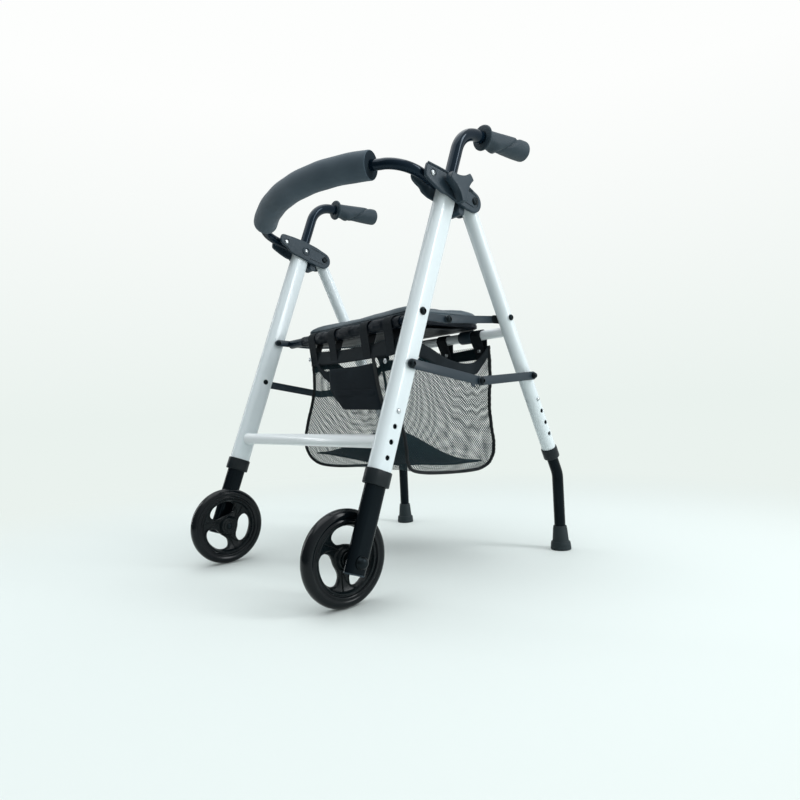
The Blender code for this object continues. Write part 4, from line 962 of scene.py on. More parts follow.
@dataclass
class Bracket:
    """The moulded bracket of a side: two plates, the wedge between the legs, and the screws."""

    outer_x: PAIR = (0.2567, 0.2632)
    inner_x: PAIR = (0.2218, 0.2283)
    screw_s: float = 0.1047

    UPPER_EDGE = mm("119.5 13.8, 90 18, 60 20.5, 28 20, 10 17.6")

    def outline(self, stepped: bool = False) -> list[PAIR]:
        """The plate's outline: round rear end, full middle, slim front, stepped on the inner plate."""
        points = arc((0.002, -0.002), 0.0188, 95, 262, 12)
        points += mm("18 -22.4, 34.5 -21.6, 50 -20, 63 -19.1")
        if stepped:
            points += mm("77.5 -20, 93 -17.2, 97.5 -12, 109 -9.8")
            points += [(0.118, -0.006)]
        else:
            points += mm("77.5 -21.6, 94 -19, 110 -15, 119.6 -11.8")
        points += mm("121.2 0, 120.6 12, 116 14.6, 90 18.5")
        points += [(0.06, 0.021), (0.028, 0.0205)]
        return round_off(points, 0.004, 4, closed=True)

    def rim(self, x: float, drop: float, radius: float) -> Shape:
        """A round bead that follows the plate's upper edge, that far under it."""
        line = round_off([(s, t - drop) for s, t in self.UPPER_EDGE], 0.008, 5)
        path = [bracket_point(x, s, t) for s, t in line]
        return Shape().tube(path, radius, steps=10)

    def groove(self, x_range: PAIR) -> Shape:
        """The U-shaped groove round the rear half of a plate."""
        outer = arc((0.004, -0.001), 0.013, 90, 270, 20)
        inner = arc((0.004, -0.001), 0.0106, 270, 90, 20)
        outline = [(0.04, 0.0132), *outer, (0.04, -0.015), (0.04, -0.0124), *inner, (0.04, 0.0108)]
        return Shape().plate(outline, x_range, bracket_point, 0.0)

    def ring_recess(self, x_range: PAIR, s: float, radius: float) -> Shape:
        """A round recess in a plate's face."""
        centre = bracket_point(0.0, s, 0.0)
        return rod(x_range, centre.y, centre.z, radius)

    def build(self, side: Side) -> None:
        """Build one side's plates and screws."""
        for word, x_range, outward in (("outer", self.outer_x, 1), ("inner", self.inner_x, -1)):
            face = x_range[0 if outward < 0 else 1]
            far = face + outward * 0.01
            recess = sorted((face - outward * 0.0012, far))
            cutters = [
                self.groove(sorted((face - outward * 0.001, far))), self.ring_recess(recess, 0.0, 0.0078),
                self.ring_recess(recess, self.screw_s, 0.0068),
            ]
            if word == "outer":
                cutters.append(self.rim(face, 0.005, 0.0009))
            plate = Shape().plate(self.outline(word == "inner"), x_range, bracket_point, 0.0016, 4)
            piece = plate.placed(f"bracket_plate_{word}_{side.word}", [BRACKET_NYLON], side)
            cut(piece, cutters, side)
            if word == "outer":
                cut(piece, [self.rim(face - 0.0004, 0.002, 0.0018)], side, True)
            finish_piece(piece, "front_frame", [f"bracket_{word}_{side.word}"])
        self.boss(side)
        self.screws(side)

    def boss(self, side: Side) -> None:
        """The ringed boss on the inner plate, opposite the knob."""
        centre = bracket_point(0.0, LEG_S, 0.0)
        x0 = self.inner_x[0]
        profile = [
            (x0 + 0.001, 0.0104), (x0 - 0.001, 0.01), (x0 - 0.0016, 0.0092), (x0 - 0.0016, 0.0076),
            (x0 - 0.001, 0.007), (x0 + 0.0002, 0.0066), (x0 + 0.0002, 1e-5),
        ]
        boss = Shape().turned(profile, (0, centre.y, centre.z), finish=0)
        bolt_head(boss, x0 + 0.0002, centre.y, centre.z, -1, 0.0044, finish=1)
        boss.fitted(side, "bracket_boss_{}", [BRACKET_NYLON, BRIGHT_STEEL], "front_frame", "dark_plastic")

    def screws(self, side: Side) -> None:
        """The bright screw through the bracket's front end and the backrest bar."""
        screw = bracket_point(0.0, self.screw_s, 0.0)
        shape = Shape()
        for x, outward in ((self.outer_x[1] - 0.0012, 1), (self.inner_x[0] + 0.0012, -1)):
            bolt_head(shape, x, screw.y, screw.z, outward, 0.005)
        shape.fitted(side, "bracket_screws_{}", [BRIGHT_STEEL], "front_frame", "button_steel")


@dataclass
class Handle:
    """The telescoping handle of a side: bent tube, moulded grip and the knob that locks it."""

    low_z: float = 0.5
    bend_z: float = 0.7596
    bend_radius: float = 0.06
    grip_rise: float = radians(1.1)
    grip_start_y: float = 0.3265
    grip_length: float = 0.122
    knob_x: PAIR = (0.264, 0.2835)
    knob_radius: float = 0.0293
    knob_corner: float = 0.0013
    flute_reach: float = 0.06
    flute_radius: float = 0.045
    knob_turn: float = 7.0

    def path(self) -> list[Vector]:
        """The tube's centre line: up the leg, over the bend and back into the grip."""
        centre = front_axis(self.bend_z) + FRONT_ACROSS * self.bend_radius
        first, last = pi - FRONT_LEAN, pi / 2 + self.grip_rise
        steps = 20
        points = [front_axis(self.low_z)]
        for i in range(steps + 1):
            angle = first + (last - first) * i / steps
            points.append(centre + Vector((0, cos(angle), sin(angle))) * self.bend_radius)
        along = Vector((0, cos(self.grip_rise), sin(self.grip_rise)))
        end_y = self.grip_start_y + self.grip_length - 0.012
        points.append(points[-1] + along * ((end_y - points[-1].y) / along.y))
        return points

    def build(self, side: Side) -> None:
        """Build one side's handle and knob."""
        tube = Shape().tube(self.path(), TUBE_RADIUS, wall=TUBE_WALL, steps=40)
        tube.fitted(side, "handle_bend_{}", [BLACK_ENAMEL], "handle_{}", "black_tube", "handle_tube_{}")
        self.grip(side)
        self.knob(side)

    def grip_radius(self, along: float, angle: float) -> float:
        """Radius of the grip at a place along it and an angle round it; up is pi / 2.

        A rounded thumb flange and a neck come first. Then two petals, one below and one
        above, part along a groove that winds from a bump under the fingers to the end's top.
        """
        length = self.grip_length
        flange = 0.0232 * exp(-((max(0.0, along - 0.0045)) / 0.0036) ** 2)
        share = along / length
        body = 0.016 + 0.0036 * ease(share, 0.1, 0.95) + 0.0006 * sin(pi * share)
        bump = exp(-(((along - 0.034) / 0.013) ** 2)) * max(0.0, -sin(angle)) ** 1.5
        body += 0.0052 * bump
        groove_angle = -pi / 2 + pi * 0.97 * ease(along, 0.026, 0.118)
        off = abs((angle - groove_angle + pi) % (2 * pi) - pi)
        mirrored = abs((pi - angle - groove_angle + pi) % (2 * pi) - pi)
        near = min(off, mirrored)
        body -= 0.003 * ease(along, 0.026, 0.04) * exp(-((near / 0.16) ** 2))
        return max(flange, body)

    def grip(self, side: Side) -> None:
        """The moulded hand grip, pushed on the tube's end."""
        path = self.path()
        along = (path[-1] - path[-2]).normalized()
        up = along.cross(-X_AXIS)
        start = path[-2] + along * ((self.grip_start_y - path[-2].y) / along.y)
        length = self.grip_length
        stations = [0.0, 0.0004, 0.0012, 0.0024, 0.0038, 0.0052, 0.0064, 0.0078, 0.0095, 0.0115]
        stations += [0.014 + (length - 0.018) * i / 46 for i in range(47)]
        angles = [i * 2 * pi / 64 for i in range(64)]

        def ring(at: float, radius_of: Callable[[float], float]) -> list[Vector]:
            """A ring round the grip at a place along it."""
            middle = start + along * at
            return [middle + (X_AXIS * cos(a) + up * sin(a)) * radius_of(a) for a in angles]

        lip = {0.0: 0.0032, 0.0004: 0.0019, 0.0012: 0.0008, 0.0024: 0.0002}
        rings = [ring(length - 0.008, lambda _: 0.0116), ring(0.0, lambda _: 0.0116)]
        for at in stations:
            rings.append(ring(at, lambda a, at=at: self.grip_radius(at, a) - lip.get(at, 0.0)))
        for at, drawn in mm("1.8 0.3, 0.9 1, 0.3 2.1, 0 3.6, 0 9"):
            rings.append(ring(length - at, lambda a, d=drawn: self.grip_radius(length, a) - d))
        Shape().skin(rings).fitted(
            side, "hand_grip_{}", [GRIP_PLASTIC], "handle_{}", "dark_plastic", "handle_grip_{}", sharp=50
        )

    def star(self, drawn_in: float) -> list[PAIR]:
        """The knob's outline: three broad lobes with hollow sides and crisp corners."""
        rim, hollow, corner = self.knob_radius - drawn_in, self.flute_radius + drawn_in, self.knob_corner
        out, reach = rim - corner, self.flute_reach
        lean = degrees(acos((out**2 + reach**2 - (hollow + corner) ** 2) / (2 * out * reach)))
        half = 60 - lean
        flute = arc((0.0, 0.0), reach, 60, 60, 1)[0]
        middle = arc((0.0, 0.0), out, half, half, 1)[0]
        way = degrees(atan2(flute[1] - middle[1], flute[0] - middle[0]))
        lobe = arc((0.0, 0.0), rim, -half, half, 6)
        lobe += arc(middle, corner, half, way, 5)[1:]
        lobe += arc(flute, hollow, way + 180, 300 - way, 16)[1:]
        following = arc((0.0, 0.0), out, 120 - half, 120 - half, 1)[0]
        lobe += arc(following, corner, 120 - way, 120 - half, 5)[1:-1]
        points = []
        for i in range(3):
            turn = radians(self.knob_turn + 120 * i)
            c, s = cos(turn), sin(turn)
            points += [(a * c - b * s, a * s + b * c) for a, b in lobe]
        return points

    def knob(self, side: Side) -> None:
        """Three-lobed knob with hollow sides, on a short neck."""
        x0, x1 = self.knob_x
        angles = [atan2(b, a) for a, b in self.star(0.0)]

        def even(radius: float) -> list[PAIR]:
            """A circle with its points at the star's angles."""
            return [(radius * cos(a), radius * sin(a)) for a in angles]

        low = x0 + 0.0036
        levels = [(x0, even(0.0092)), (x0 + 0.0005, even(0.0096)), (low - 0.0004, even(0.0098))]
        levels += [(low + rise, self.star(drawn)) for rise, drawn in mm("0 1.8, 0.5 0.6, 1.6 0")]
        for i in range(5):
            angle = pi / 2 * i / 4
            levels.append((x1 - 0.0018 * (1 - sin(angle)), self.star(0.0018 * (1 - cos(angle)))))
        levels.append((x1, [(a * 0.5, b * 0.5) for a, b in self.star(0.0018)]))
        levels.append((x1, even(1e-4)))
        shape = Shape().skin([[bracket_point(x, LEG_S + a, b) for a, b in ring] for x, ring in levels])
        centre = bracket_point(0.0, LEG_S, 0.0)
        stud = [(SIDE_X + TUBE_RADIUS + 0.0003, 0.003), (x0 + 0.004, 0.003)]
        shape.turned(stud, (0, centre.y, centre.z), finish=1)
        shape.fitted(
            side, "handle_knob_{}", [BRACKET_NYLON, DARK_STEEL], "knob_{}", "dark_plastic", "lock_knob_{}"
        )


@dataclass
class FrontFoot:
    """The front extension of a side with its axle, wheel, tyre and snap button."""

    long_half: float = 0.0185
    short_half: float = 0.0105
    top_z: float = 0.358
    past_axle: float = 0.0175
    wheel_x: float = 0.209
    wheel_radius: float = 0.0757
    rim_radius: float = 0.0558
    tyre_half: float = 0.01215
    web_half: float = 0.0032
    wheel_turn_left: float = radians(-37.0)
    wheel_turn_right: float = radians(-13.0)

    def build(self, side: Side) -> None:
        """Build one side's front foot."""
        for piece in (self.extension, self.axle, self.tyre, self.wheel, self.button):
            piece(side)

    def extension(self, side: Side) -> None:
        """The black flat-oval leg."""
        foot = AXLE_Z - self.past_axle * cos(FRONT_LEAN)
        outer = flat_oval(self.long_half, self.short_half)
        inner = flat_oval(self.long_half - TUBE_WALL, self.short_half - TUBE_WALL)
        levels = [(foot, outer), (self.top_z, outer), (self.top_z, inner), (foot, inner)]
        Shape().skin(front_rings(levels), True).fitted(
            side, "front_extension_tube_{}", [SLIDING_ENAMEL], "extension_{}", "black_tube",
            "front_extension_{}",
            cutters=[button_hole(front_axis(FRONT_BUTTON_Z), 0.004)],
        )

    def axle(self, side: Side) -> None:
        """Axle bolt: a washered head inside, a spacer, and a cap nut outside the leg."""
        shape = Shape()
        hub_out = self.wheel_x + 0.0135
        leg_in = SIDE_X - self.short_half - 0.0003
        leg_out = SIDE_X + self.short_half + 0.0003
        shape.turned([(self.wheel_x - 0.0138, 0.004), (leg_out, 0.004)], (0, 0, AXLE_Z))
        spacer = [(hub_out + 0.0003, 0.008), (hub_out + 0.0008, 0.0085)]
        spacer += [(leg_in - 0.0005, 0.0085), (leg_in, 0.008)]
        shape.turned(spacer, (0, 0, AXLE_Z))
        bolt_head(shape, self.wheel_x - 0.0138, 0.0, AXLE_Z, -1, 0.0062, rise=0.0022)
        cap = mm(
            "0 9.6, 0.5 10.1, 1.8 10.1, 2.4 9.5, 2.8 9.2, 5.5 8.8, 7.8 7.7, 9.4 5.8, 10.3 3.2, 10.6 0.01"
        )
        shape.turned([(leg_out + a, r) for a, r in cap], (0, 0, AXLE_Z))
        shape.fitted(side, "wheel_axle_{}", [DARK_STEEL], "extension_{}", "dark_bolt", "axle_bolt_{}")

    def tyre(self, side: Side) -> None:
        """Solid tyre with a round tread and a raised lip beside the rim."""
        half = [(-0.01, self.rim_radius + 0.0003)]
        half += mm("-11 56.6, -12.1 57.4, -12.2 59.2, -11 60.2, -10.6 61.4, -11.4 63.2")
        half += [(-self.tyre_half, 0.0656), *mm("-11.9 68.4, -10.5 71.3, -8 73.6, -4.5 75.1")]
        half.append((0.0, self.wheel_radius))
        profile = half + [(-a, r) for a, r in reversed(half[:-1])]
        shape = Shape().turned(profile, (self.wheel_x, 0, AXLE_Z), steps=128, loop=True)
        shape.fitted(side, "wheel_tyre_{}", [TYRE_RUBBER], "wheel_{}", "tyre_rubber", "tyre_{}", sharp=60)

    def opening_outline(self, turn: float, grow: float) -> list[PAIR]:
        """The bean-shaped outline of an opening as (y, z), grown by a distance."""
        count = 60
        middle, reach, half_angle = 0.0355, 0.014, radians(43)
        points = []
        for i in range(count):
            angle = 2 * pi * i / count
            across, round_it = (
                copysign(abs(part) ** 0.74, part) for part in (cos(angle), sin(angle))
            )
            radius = middle + (reach + grow) * across
            at = turn + (half_angle + grow / middle) * round_it
            points.append((radius * cos(at), AXLE_Z + radius * sin(at)))
        return points

    def opening(self, turn: float) -> Shape:
        """A bean-shaped opening through the web, wider at both faces for a rounded edge."""
        half = self.web_half
        levels = [(-0.03, 0.0009), (-half, 0.0009), (-half + 0.0004, 0.0003), (-half + 0.0009, 0.0)]
        levels += [(-x, grow) for x, grow in reversed(levels)]
        rings = [
            [Vector((self.wheel_x + x, y, z)) for y, z in self.opening_outline(turn, grow)]
            for x, grow in levels
        ]
        return Shape().skin(rings)

    def ribs(self, shape: Shape, turn: float) -> None:
        """A lip round each opening and curved ribs that swirl from the hub to the rim."""
        angles = [i * pi / 5 for i in range(10)]
        lip = [(0.0013 * cos(a), 0.001 * sin(a)) for a in angles]
        rib = [(0.0016 * cos(a), 0.0009 * sin(a)) for a in angles]
        for face in (-1, 1):
            x = self.wheel_x + face * (self.web_half + 0.0001)
            shape.ringed([Vector((x, y, z)) for y, z in self.opening_outline(turn, 0.0014)], X_AXIS, lip)
            for offset in (-0.13, 0.13):
                path = []
                for i in range(17):
                    share = i / 16
                    radius = 0.0172 + 0.0335 * share
                    at = turn + pi / 3 + offset * (0.5 + 1.3 * share * share) + 0.42 * (share - 0.45)
                    path.append(Vector((x, radius * cos(at), AXLE_Z + radius * sin(at))))
                shape.swept(path, X_AXIS, lambda _: rib)

    def wheel(self, side: Side) -> None:
        """Moulded wheel: hub barrel with its ringed flange, web with three openings, and rim."""
        half = mm(
            "-13.5 4.4, -13.5 6.4, -12.8 6.9, -12.8 8.6, -13.5 9.2, -13.5 11, -13 11.6, -11.7 12, "
            "-11.7 13.6, -12.4 14.2, -12.4 15.6, -11.6 16.5, -6.2 17.8, -4 19.6"
        )
        half += [(-self.web_half, 0.0214), (-self.web_half, 0.0484)]
        half += mm("-4.4 50, -8.6 51.2, -9.5 51.8, -9.5 53.6, -8.9 54.2, -9.5 54.8")
        half.append((-0.0095, self.rim_radius))
        profile = half + [(-a, r) for a, r in reversed(half)]
        shape = Shape().turned(profile, (self.wheel_x, 0, AXLE_Z), steps=96, loop=True)
        wheel = shape.placed(f"wheel_centre_{side.word}", [WHEEL_NYLON], side)
        first = self.wheel_turn_left if side is Side.LEFT else self.wheel_turn_right
        turns = [first + radians(120 * i) for i in range(3)]
        cut(wheel, [self.opening(turn) for turn in turns], side)
        finish_piece(wheel, f"wheel_{side.word}", [f"wheel_hub_{side.word}"])
        ribs = Shape()
        for turn in turns:
            self.ribs(ribs, turn)
        ribs.fitted(side, "wheel_ribs_{}", [WHEEL_NYLON], "wheel_{}", "dark_plastic")

    def button(self, side: Side) -> None:
        """The spring button that stands in one of the leg's holes."""
        shape = button_shape(front_axis(FRONT_BUTTON_Z), SIDE_X + 0.0155)
        shape.fitted(
            side, "front_snap_button_{}", [BRIGHT_STEEL], "front_snap_{}", "button_steel", "front_button_{}"
        )


def button_shape(centre: Vector, tip_x: float) -> Shape:
    """A spring button with a flange inside the tube and a domed tip outside the leg."""
    base = tip_x - 0.0112
    profile = [
        (base, 0.005), (base + 0.0018, 0.0052), (base + 0.0018, 0.0039), (tip_x - 0.0016, 0.0039),
        (tip_x - 0.0009, 0.0036), (tip_x - 0.0004, 0.0029), (tip_x - 0.0001, 0.0018), (tip_x, 1e-5),
    ]
    return Shape().turned(profile, (0, centre.y, centre.z), steps=32)


@dataclass
class RearFoot:
    """The rear extension of a side with its rubber ferrule and snap button."""

    foot_y: float = 0.5125
    bend_radius: float = 0.04
    top_z: float = 0.343

    def path(self) -> list[Vector]:
        """The tube's centre line, bent upright over its foot."""
        corner = rear_axis(PIVOT[1] - (self.foot_y - PIVOT[0]) / tan(REAR_LEAN))
        start = corner + REAR_UP * (self.bend_radius * tan(REAR_LEAN / 2))
        centre = start - REAR_ACROSS * self.bend_radius
        path = [rear_axis(self.top_z)]
        for i in range(15):
            angle = REAR_LEAN * (1 - i / 14)
            path.append(centre + Vector((0, cos(angle), sin(angle))) * self.bend_radius)
        path.append(Vector((SIDE_X, self.foot_y, 0.007)))
        return path

    def build(self, side: Side) -> None:
        """Build one side's rear foot."""
        Shape().tube(self.path(), TUBE_RADIUS, wall=TUBE_WALL, steps=40).fitted(
            side, "rear_extension_tube_{}", [SLIDING_ENAMEL], "rear_foot_{}", "black_tube",
            "rear_extension_{}",
            cutters=[button_hole(rear_axis(REAR_BUTTON_Z), 0.002)],
        )
        profile = mm(
            "6.5 11.6, 48 11.6, 48 12.6, 47.6 13.1, 46.6 13.4, 44 13.5, 43 14, 20 16, 17.6 16.4, 16.6 17, "
            "16 18.6, 15 19.2, 12 19.7, 8 20.1, 7.4 19.9, 6.8 20.3, 2 20.5, 0.6 20.2, 0 19.4"
        )
        shape = Shape().turned(profile, (SIDE_X, self.foot_y, 0), Z_AXIS, 64)
        shape.fitted(side, "rubber_foot_{}", [FOOT_RUBBER], "rear_foot_{}", "foot_rubber", "ferrule_{}")
        shape = button_shape(rear_axis(REAR_BUTTON_Z), SIDE_X + 0.016)
        shape.fitted(
            side, "rear_snap_button_{}", [BRIGHT_STEEL], "rear_snap_{}", "button_steel", "rear_button_{}"
        )


@dataclass
class CrossTubes:
    """The tubes that join the two sides."""

    crossbar: PAIR = (0.0659, 0.2504)
    rear_radius: float = 0.0096
    seat_radius: float = 0.0095
    seat_tube_end: float = 0.2213
    sleeve_x: PAIR = (0.117, 0.15)
    sleeve_radius: float = 0.0133

    def build(self) -> None:
        """Build the front crossbar, the rear cross tube with its sleeves, and the seat tube."""
        end = SIDE_X - 0.01355
        half = [(0.0, TUBE_RADIUS), (end - 0.0052, TUBE_RADIUS), (end - 0.0042, TUBE_RADIUS + 0.0006),
                (end - 0.0032, TUBE_RADIUS + 0.0016), (end - 0.0018, TUBE_RADIUS + 0.0018),
                (end - 0.0006, TUBE_RADIUS + 0.0016), (end, TUBE_RADIUS + 0.0008)]
        profile = [(-a, r) for a, r in reversed(half)] + half[1:]
        shape = Shape().turned(profile, (0, *self.crossbar), steps=44)
        # The cross tubes wear the lighter enamel copy, which is painted light.
        bar = shape.placed("front_cross_tube", [BAR_ENAMEL_PAINTED_LIGHT])
        finish_piece(bar, "front_frame", ["front_crossbar"])
        shape = Shape().turned([(-SIDE_X, self.rear_radius), (SIDE_X, self.rear_radius)], (0, *REAR_CROSS))
        tube = shape.placed("rear_tube", [BAR_ENAMEL_PAINTED_LIGHT])
        path = [rear_axis(REAR_CROSS[1] + way) for way in (-0.04, 0.04)]
        for side in Side:
            cut(tube, [Shape().tube(path, 0.0141)], side)
        finish_piece(tube, "rear_frame", ["rear_cross_tube"])
        for side in Side:
            self.sleeve(side)
        end = self.seat_tube_end
        shape = Shape().turned([(-end, self.seat_radius), (end, self.seat_radius)], (0, *SEAT_TUBE))
        finish_piece(shape.placed("seat_front_tube", [BLACK_ENAMEL]), "seat", ["seat_tube"])

    def sleeve(self, side: Side) -> None:
        """The plastic sleeve that the seat board rests on."""
        x0, x1 = self.sleeve_x
        radius = self.sleeve_radius
        profile = [
            (x0, radius - 0.0012), (x0 + 0.0004, radius - 0.0003), (x0 + 0.0012, radius),
            (x1 - 0.0012, radius), (x1 - 0.0004, radius - 0.0003), (x1, radius - 0.0012),
            (x1, self.rear_radius + 0.0003), (x0, self.rear_radius + 0.0003),
        ]
        shape = Shape().turned(profile, (0, *REAR_CROSS), loop=True)
        shape.fitted(side, "seat_rest_{}", [BRACKET_NYLON], "rear_frame", "dark_plastic", "rest_sleeve_{}")


@dataclass
class Backrest:
    """The curved bar between the brackets, with its foam sleeve."""

    bar_radius: float = 0.0095
    arc_radius: float = 0.456
    front_s: float = 0.2197
    corner_radius: float = 0.06
    corner_x: float = 0.183
    corner_s: float = 0.116
    end_s: float = 0.0785
    button_s: float = 0.1265
    pad_radius: float = 0.0255
    pad_wall: float = 0.014
    pad_half_angle: float = radians(24.2)

    def path(self) -> list[Vector]:
        """The bar's centre line, from the left bracket round to the right one."""
        reach = degrees(atan2(self.corner_s - self.front_s + self.arc_radius, self.corner_x))
        half = [(self.corner_x + self.corner_radius, self.end_s)]
        half += arc((self.corner_x, self.corner_s), self.corner_radius, 0, reach, 16)
        centre = (0.0, self.front_s - self.arc_radius)
        middle = arc(centre, self.arc_radius, reach, 180 - reach, 48)[1:-1]
        line = half + middle + [(-x, s) for x, s in reversed(half)]
        return [bracket_point(x, s, 0.0) for x, s in line]

    def build(self) -> None:
        """Build the bar and its foam."""
        shape = Shape().tube(self.path(), self.bar_radius, BRACKET_NORMAL, steps=32)
        for sign in (1, -1):
            inner = self.corner_x + self.corner_radius - self.bar_radius
            place = bracket_point(sign * inner, self.button_s, 0.0)
            profile = mm("-2 3, 0.8 3, 1.6 2.4, 2.1 1.2, 2.2 0.01")
            shape.turned([(-sign * a, r) for a, r in profile], place, finish=1)
        bar = shape.placed("backrest_tube", [BLACK_ENAMEL, DARK_STEEL])
        finish_piece(bar, "front_frame", ["backrest_bar"])
        self.foam()

    def foam(self) -> None:
        """The foam sleeve, a little slack, with its cut ends drawn in; the cut end faces get a darker colour
        that is mostly painted shade.
        """
        centre_s = self.front_s - self.arc_radius
        steps = 60
        length = 2 * self.pad_half_angle * self.arc_radius
        stations = [0.0, 0.0002, 0.0007, 0.0014, 0.0022]
        stations += [0.011 + (length - 0.022) * i / steps for i in range(steps + 1)]
        stations += [length - at for at in (0.0022, 0.0014, 0.0007, 0.0002, 0.0)]
        path, radii = [], []
        for at in stations:
            angle = -self.pad_half_angle + at / self.arc_radius
            x, s = self.arc_radius * sin(angle), centre_s + self.arc_radius * cos(angle)
            path.append(bracket_point(x, s, 0.0))
            from_end = min(at, length - at)
            round_end = 0.0015 * (1 - sqrt(max(0.0, 1 - (1 - min(1.0, from_end / 0.0022)) ** 2)))
            radii.append(self.pad_radius - round_end + 0.0003 * sin(at * 95) - 0.0003)

        def section(i: int) -> list[PAIR]:
            """The sleeve's outline at a station."""
            return circle(radii[i], 48)

        outer = Shape().swept(path, BRACKET_NORMAL, section, wall=self.pad_wall)
        pad = outer.placed("backrest_foam", [SLEEVE_FOAM, SLEEVE_CUT_PAINTED_SHADE], sharp=50)
        # End faces get the darker cut finish: mostly painted shade, partly the open cells' own darkness.
        tips = ((path[0] - path[1]).normalized(), (path[-1] - path[-2]).normalized())
        for polygon in pad.data.polygons:
            if max(polygon.normal.dot(tip) for tip in tips) > 0.96:
                polygon.material_index = 1
        finish_piece(pad, "front_frame", ["backrest_pad"])


@dataclass
class FoldingLinks:
    """The flat links that brace each side and fold with the seat."""

    upper: tuple[PAIR, PAIR, PAIR] = ((0.1449, 0.4598), (0.233, 0.4556), (0.3696, 0.463))
    lower: tuple[PAIR, PAIR, PAIR] = ((0.112, 0.3725), (0.2726, 0.3436), (0.4204, 0.353))
    upper_width: float = 0.014
    lower_width: float = 0.016

    @staticmethod
    def bar(shape: Shape, start: PAIR, end: PAIR, width: float, x_range: PAIR, finish: int = 0) -> Shape:
        """Add a flat bar with round ends between two places given as (y, z)."""
        heading = degrees(atan2(end[1] - start[1], end[0] - start[0]))
        points = arc(end, width / 2, heading - 90, heading + 90, 16)
        points += arc(start, width / 2, heading + 90, heading + 270, 16)
        return shape.plate(points, x_range, finish=finish)

    @staticmethod
    def pin(shape: Shape, place: PAIR, start: float, end: float, radius: float = 0.003) -> None:
        """Add a bolt's shank, or a wider spacer, across X."""
        shape.turned([(start, radius), (end, radius)], (0, *place), finish=1)

    def build(self, side: Side) -> None:
        """Build one side's four links with their bolts."""
        self.upper_links(side)
        self.lower_links(side)

    def fit(self, shape: Shape, side: Side, name: str, body: str, node: str) -> None:
        """Place a link with its bolts."""
        shape.fitted(side, name, [LINK_NYLON, DARK_STEEL, COLLAR_NYLON], body, "dark_plastic", node)

    def upper_links(self, side: Side) -> None:
        """The pair of links at the seat's height."""
        front, middle, rear = self.upper
        outer = SIDE_X + 0.0136
        shape = self.bar(Shape(), front, middle, self.upper_width, (0.2216, 0.2246))
        bolt_head(shape, 0.2216, *front, -1, finish=1)
        bolt_head(shape, 0.2216, *middle, -1, finish=1)
        self.pin(shape, front, 0.224, outer)
        bolt_head(shape, outer, *front, 1, 0.006, 0.0068, 0.0034, finish=1)
        self.pin(shape, front, 0.2248, 0.2289, 0.0056)
        self.fit(shape, side, "seat_link_{}", "seat", "upper_front_link_{}")
        outer = SIDE_X + 0.0142
        shape = self.bar(Shape(), middle, rear, self.upper_width, (0.225, 0.2279))
        self.bar(shape, (0.356, rear[1] - 0.0001), rear, self.upper_width + 0.0016, (0.2248, 0.2283), 2)
        bolt_head(shape, 0.2248, *rear, -1, 0.0052, finish=1)
        self.pin(shape, rear, 0.227, outer)
        bolt_head(shape, outer, *rear, 1, 0.0058, rise=0.0032, finish=1)
        bolt_head(shape, 0.2279, *middle, 1, 0.0058, 0.007, 0.003, finish=1)
        self.fit(shape, side, "upper_brace_link_{}", "upper_rear_links", "upper_rear_link_{}")

    def lower_links(self, side: Side) -> None:
        """The pair of links under the seat."""
        front, middle, rear = self.lower
        inner, outer = SIDE_X - 0.0136, SIDE_X + 0.0136
        shape = self.bar(Shape(), front, middle, self.lower_width, (0.2586, 0.2612))
        bolt_head(shape, 0.2612, *front, 1, 0.0062, 0.0072, 0.0036, finish=1)
        self.pin(shape, front, inner, 0.259)
        bolt_head(shape, inner, *front, -1, finish=1)
        self.pin(shape, front, outer, 0.2586, 0.0056)
        nib = mm("249 334.5, 257 332.5, 258 340, 249.5 342")
        shape.plate(round_off(nib, 0.0015, 3, True), (0.2588, 0.261), edge=0.0004)
        self.fit(shape, side, "lower_brace_link_front_{}", "lower_front_links", "lower_front_link_{}")
        inner, outer = SIDE_X - 0.0141, SIDE_X + 0.0141
        shape = self.bar(Shape(), middle, rear, self.lower_width, (0.2616, 0.2642))
        bolt_head(shape, 0.2642, *middle, 1, 0.006, 0.0071, 0.0032, finish=1)
        dome_nut(shape, 0.2642, *rear, 1, 0.0058, finish=1)
        self.pin(shape, rear, inner, 0.262)
        bolt_head(shape, inner, *rear, -1, finish=1)
        self.pin(shape, rear, outer, 0.2616, 0.0056)
        self.fit(shape, side, "lower_brace_link_rear_{}", "lower_rear_links", "lower_rear_link_{}")


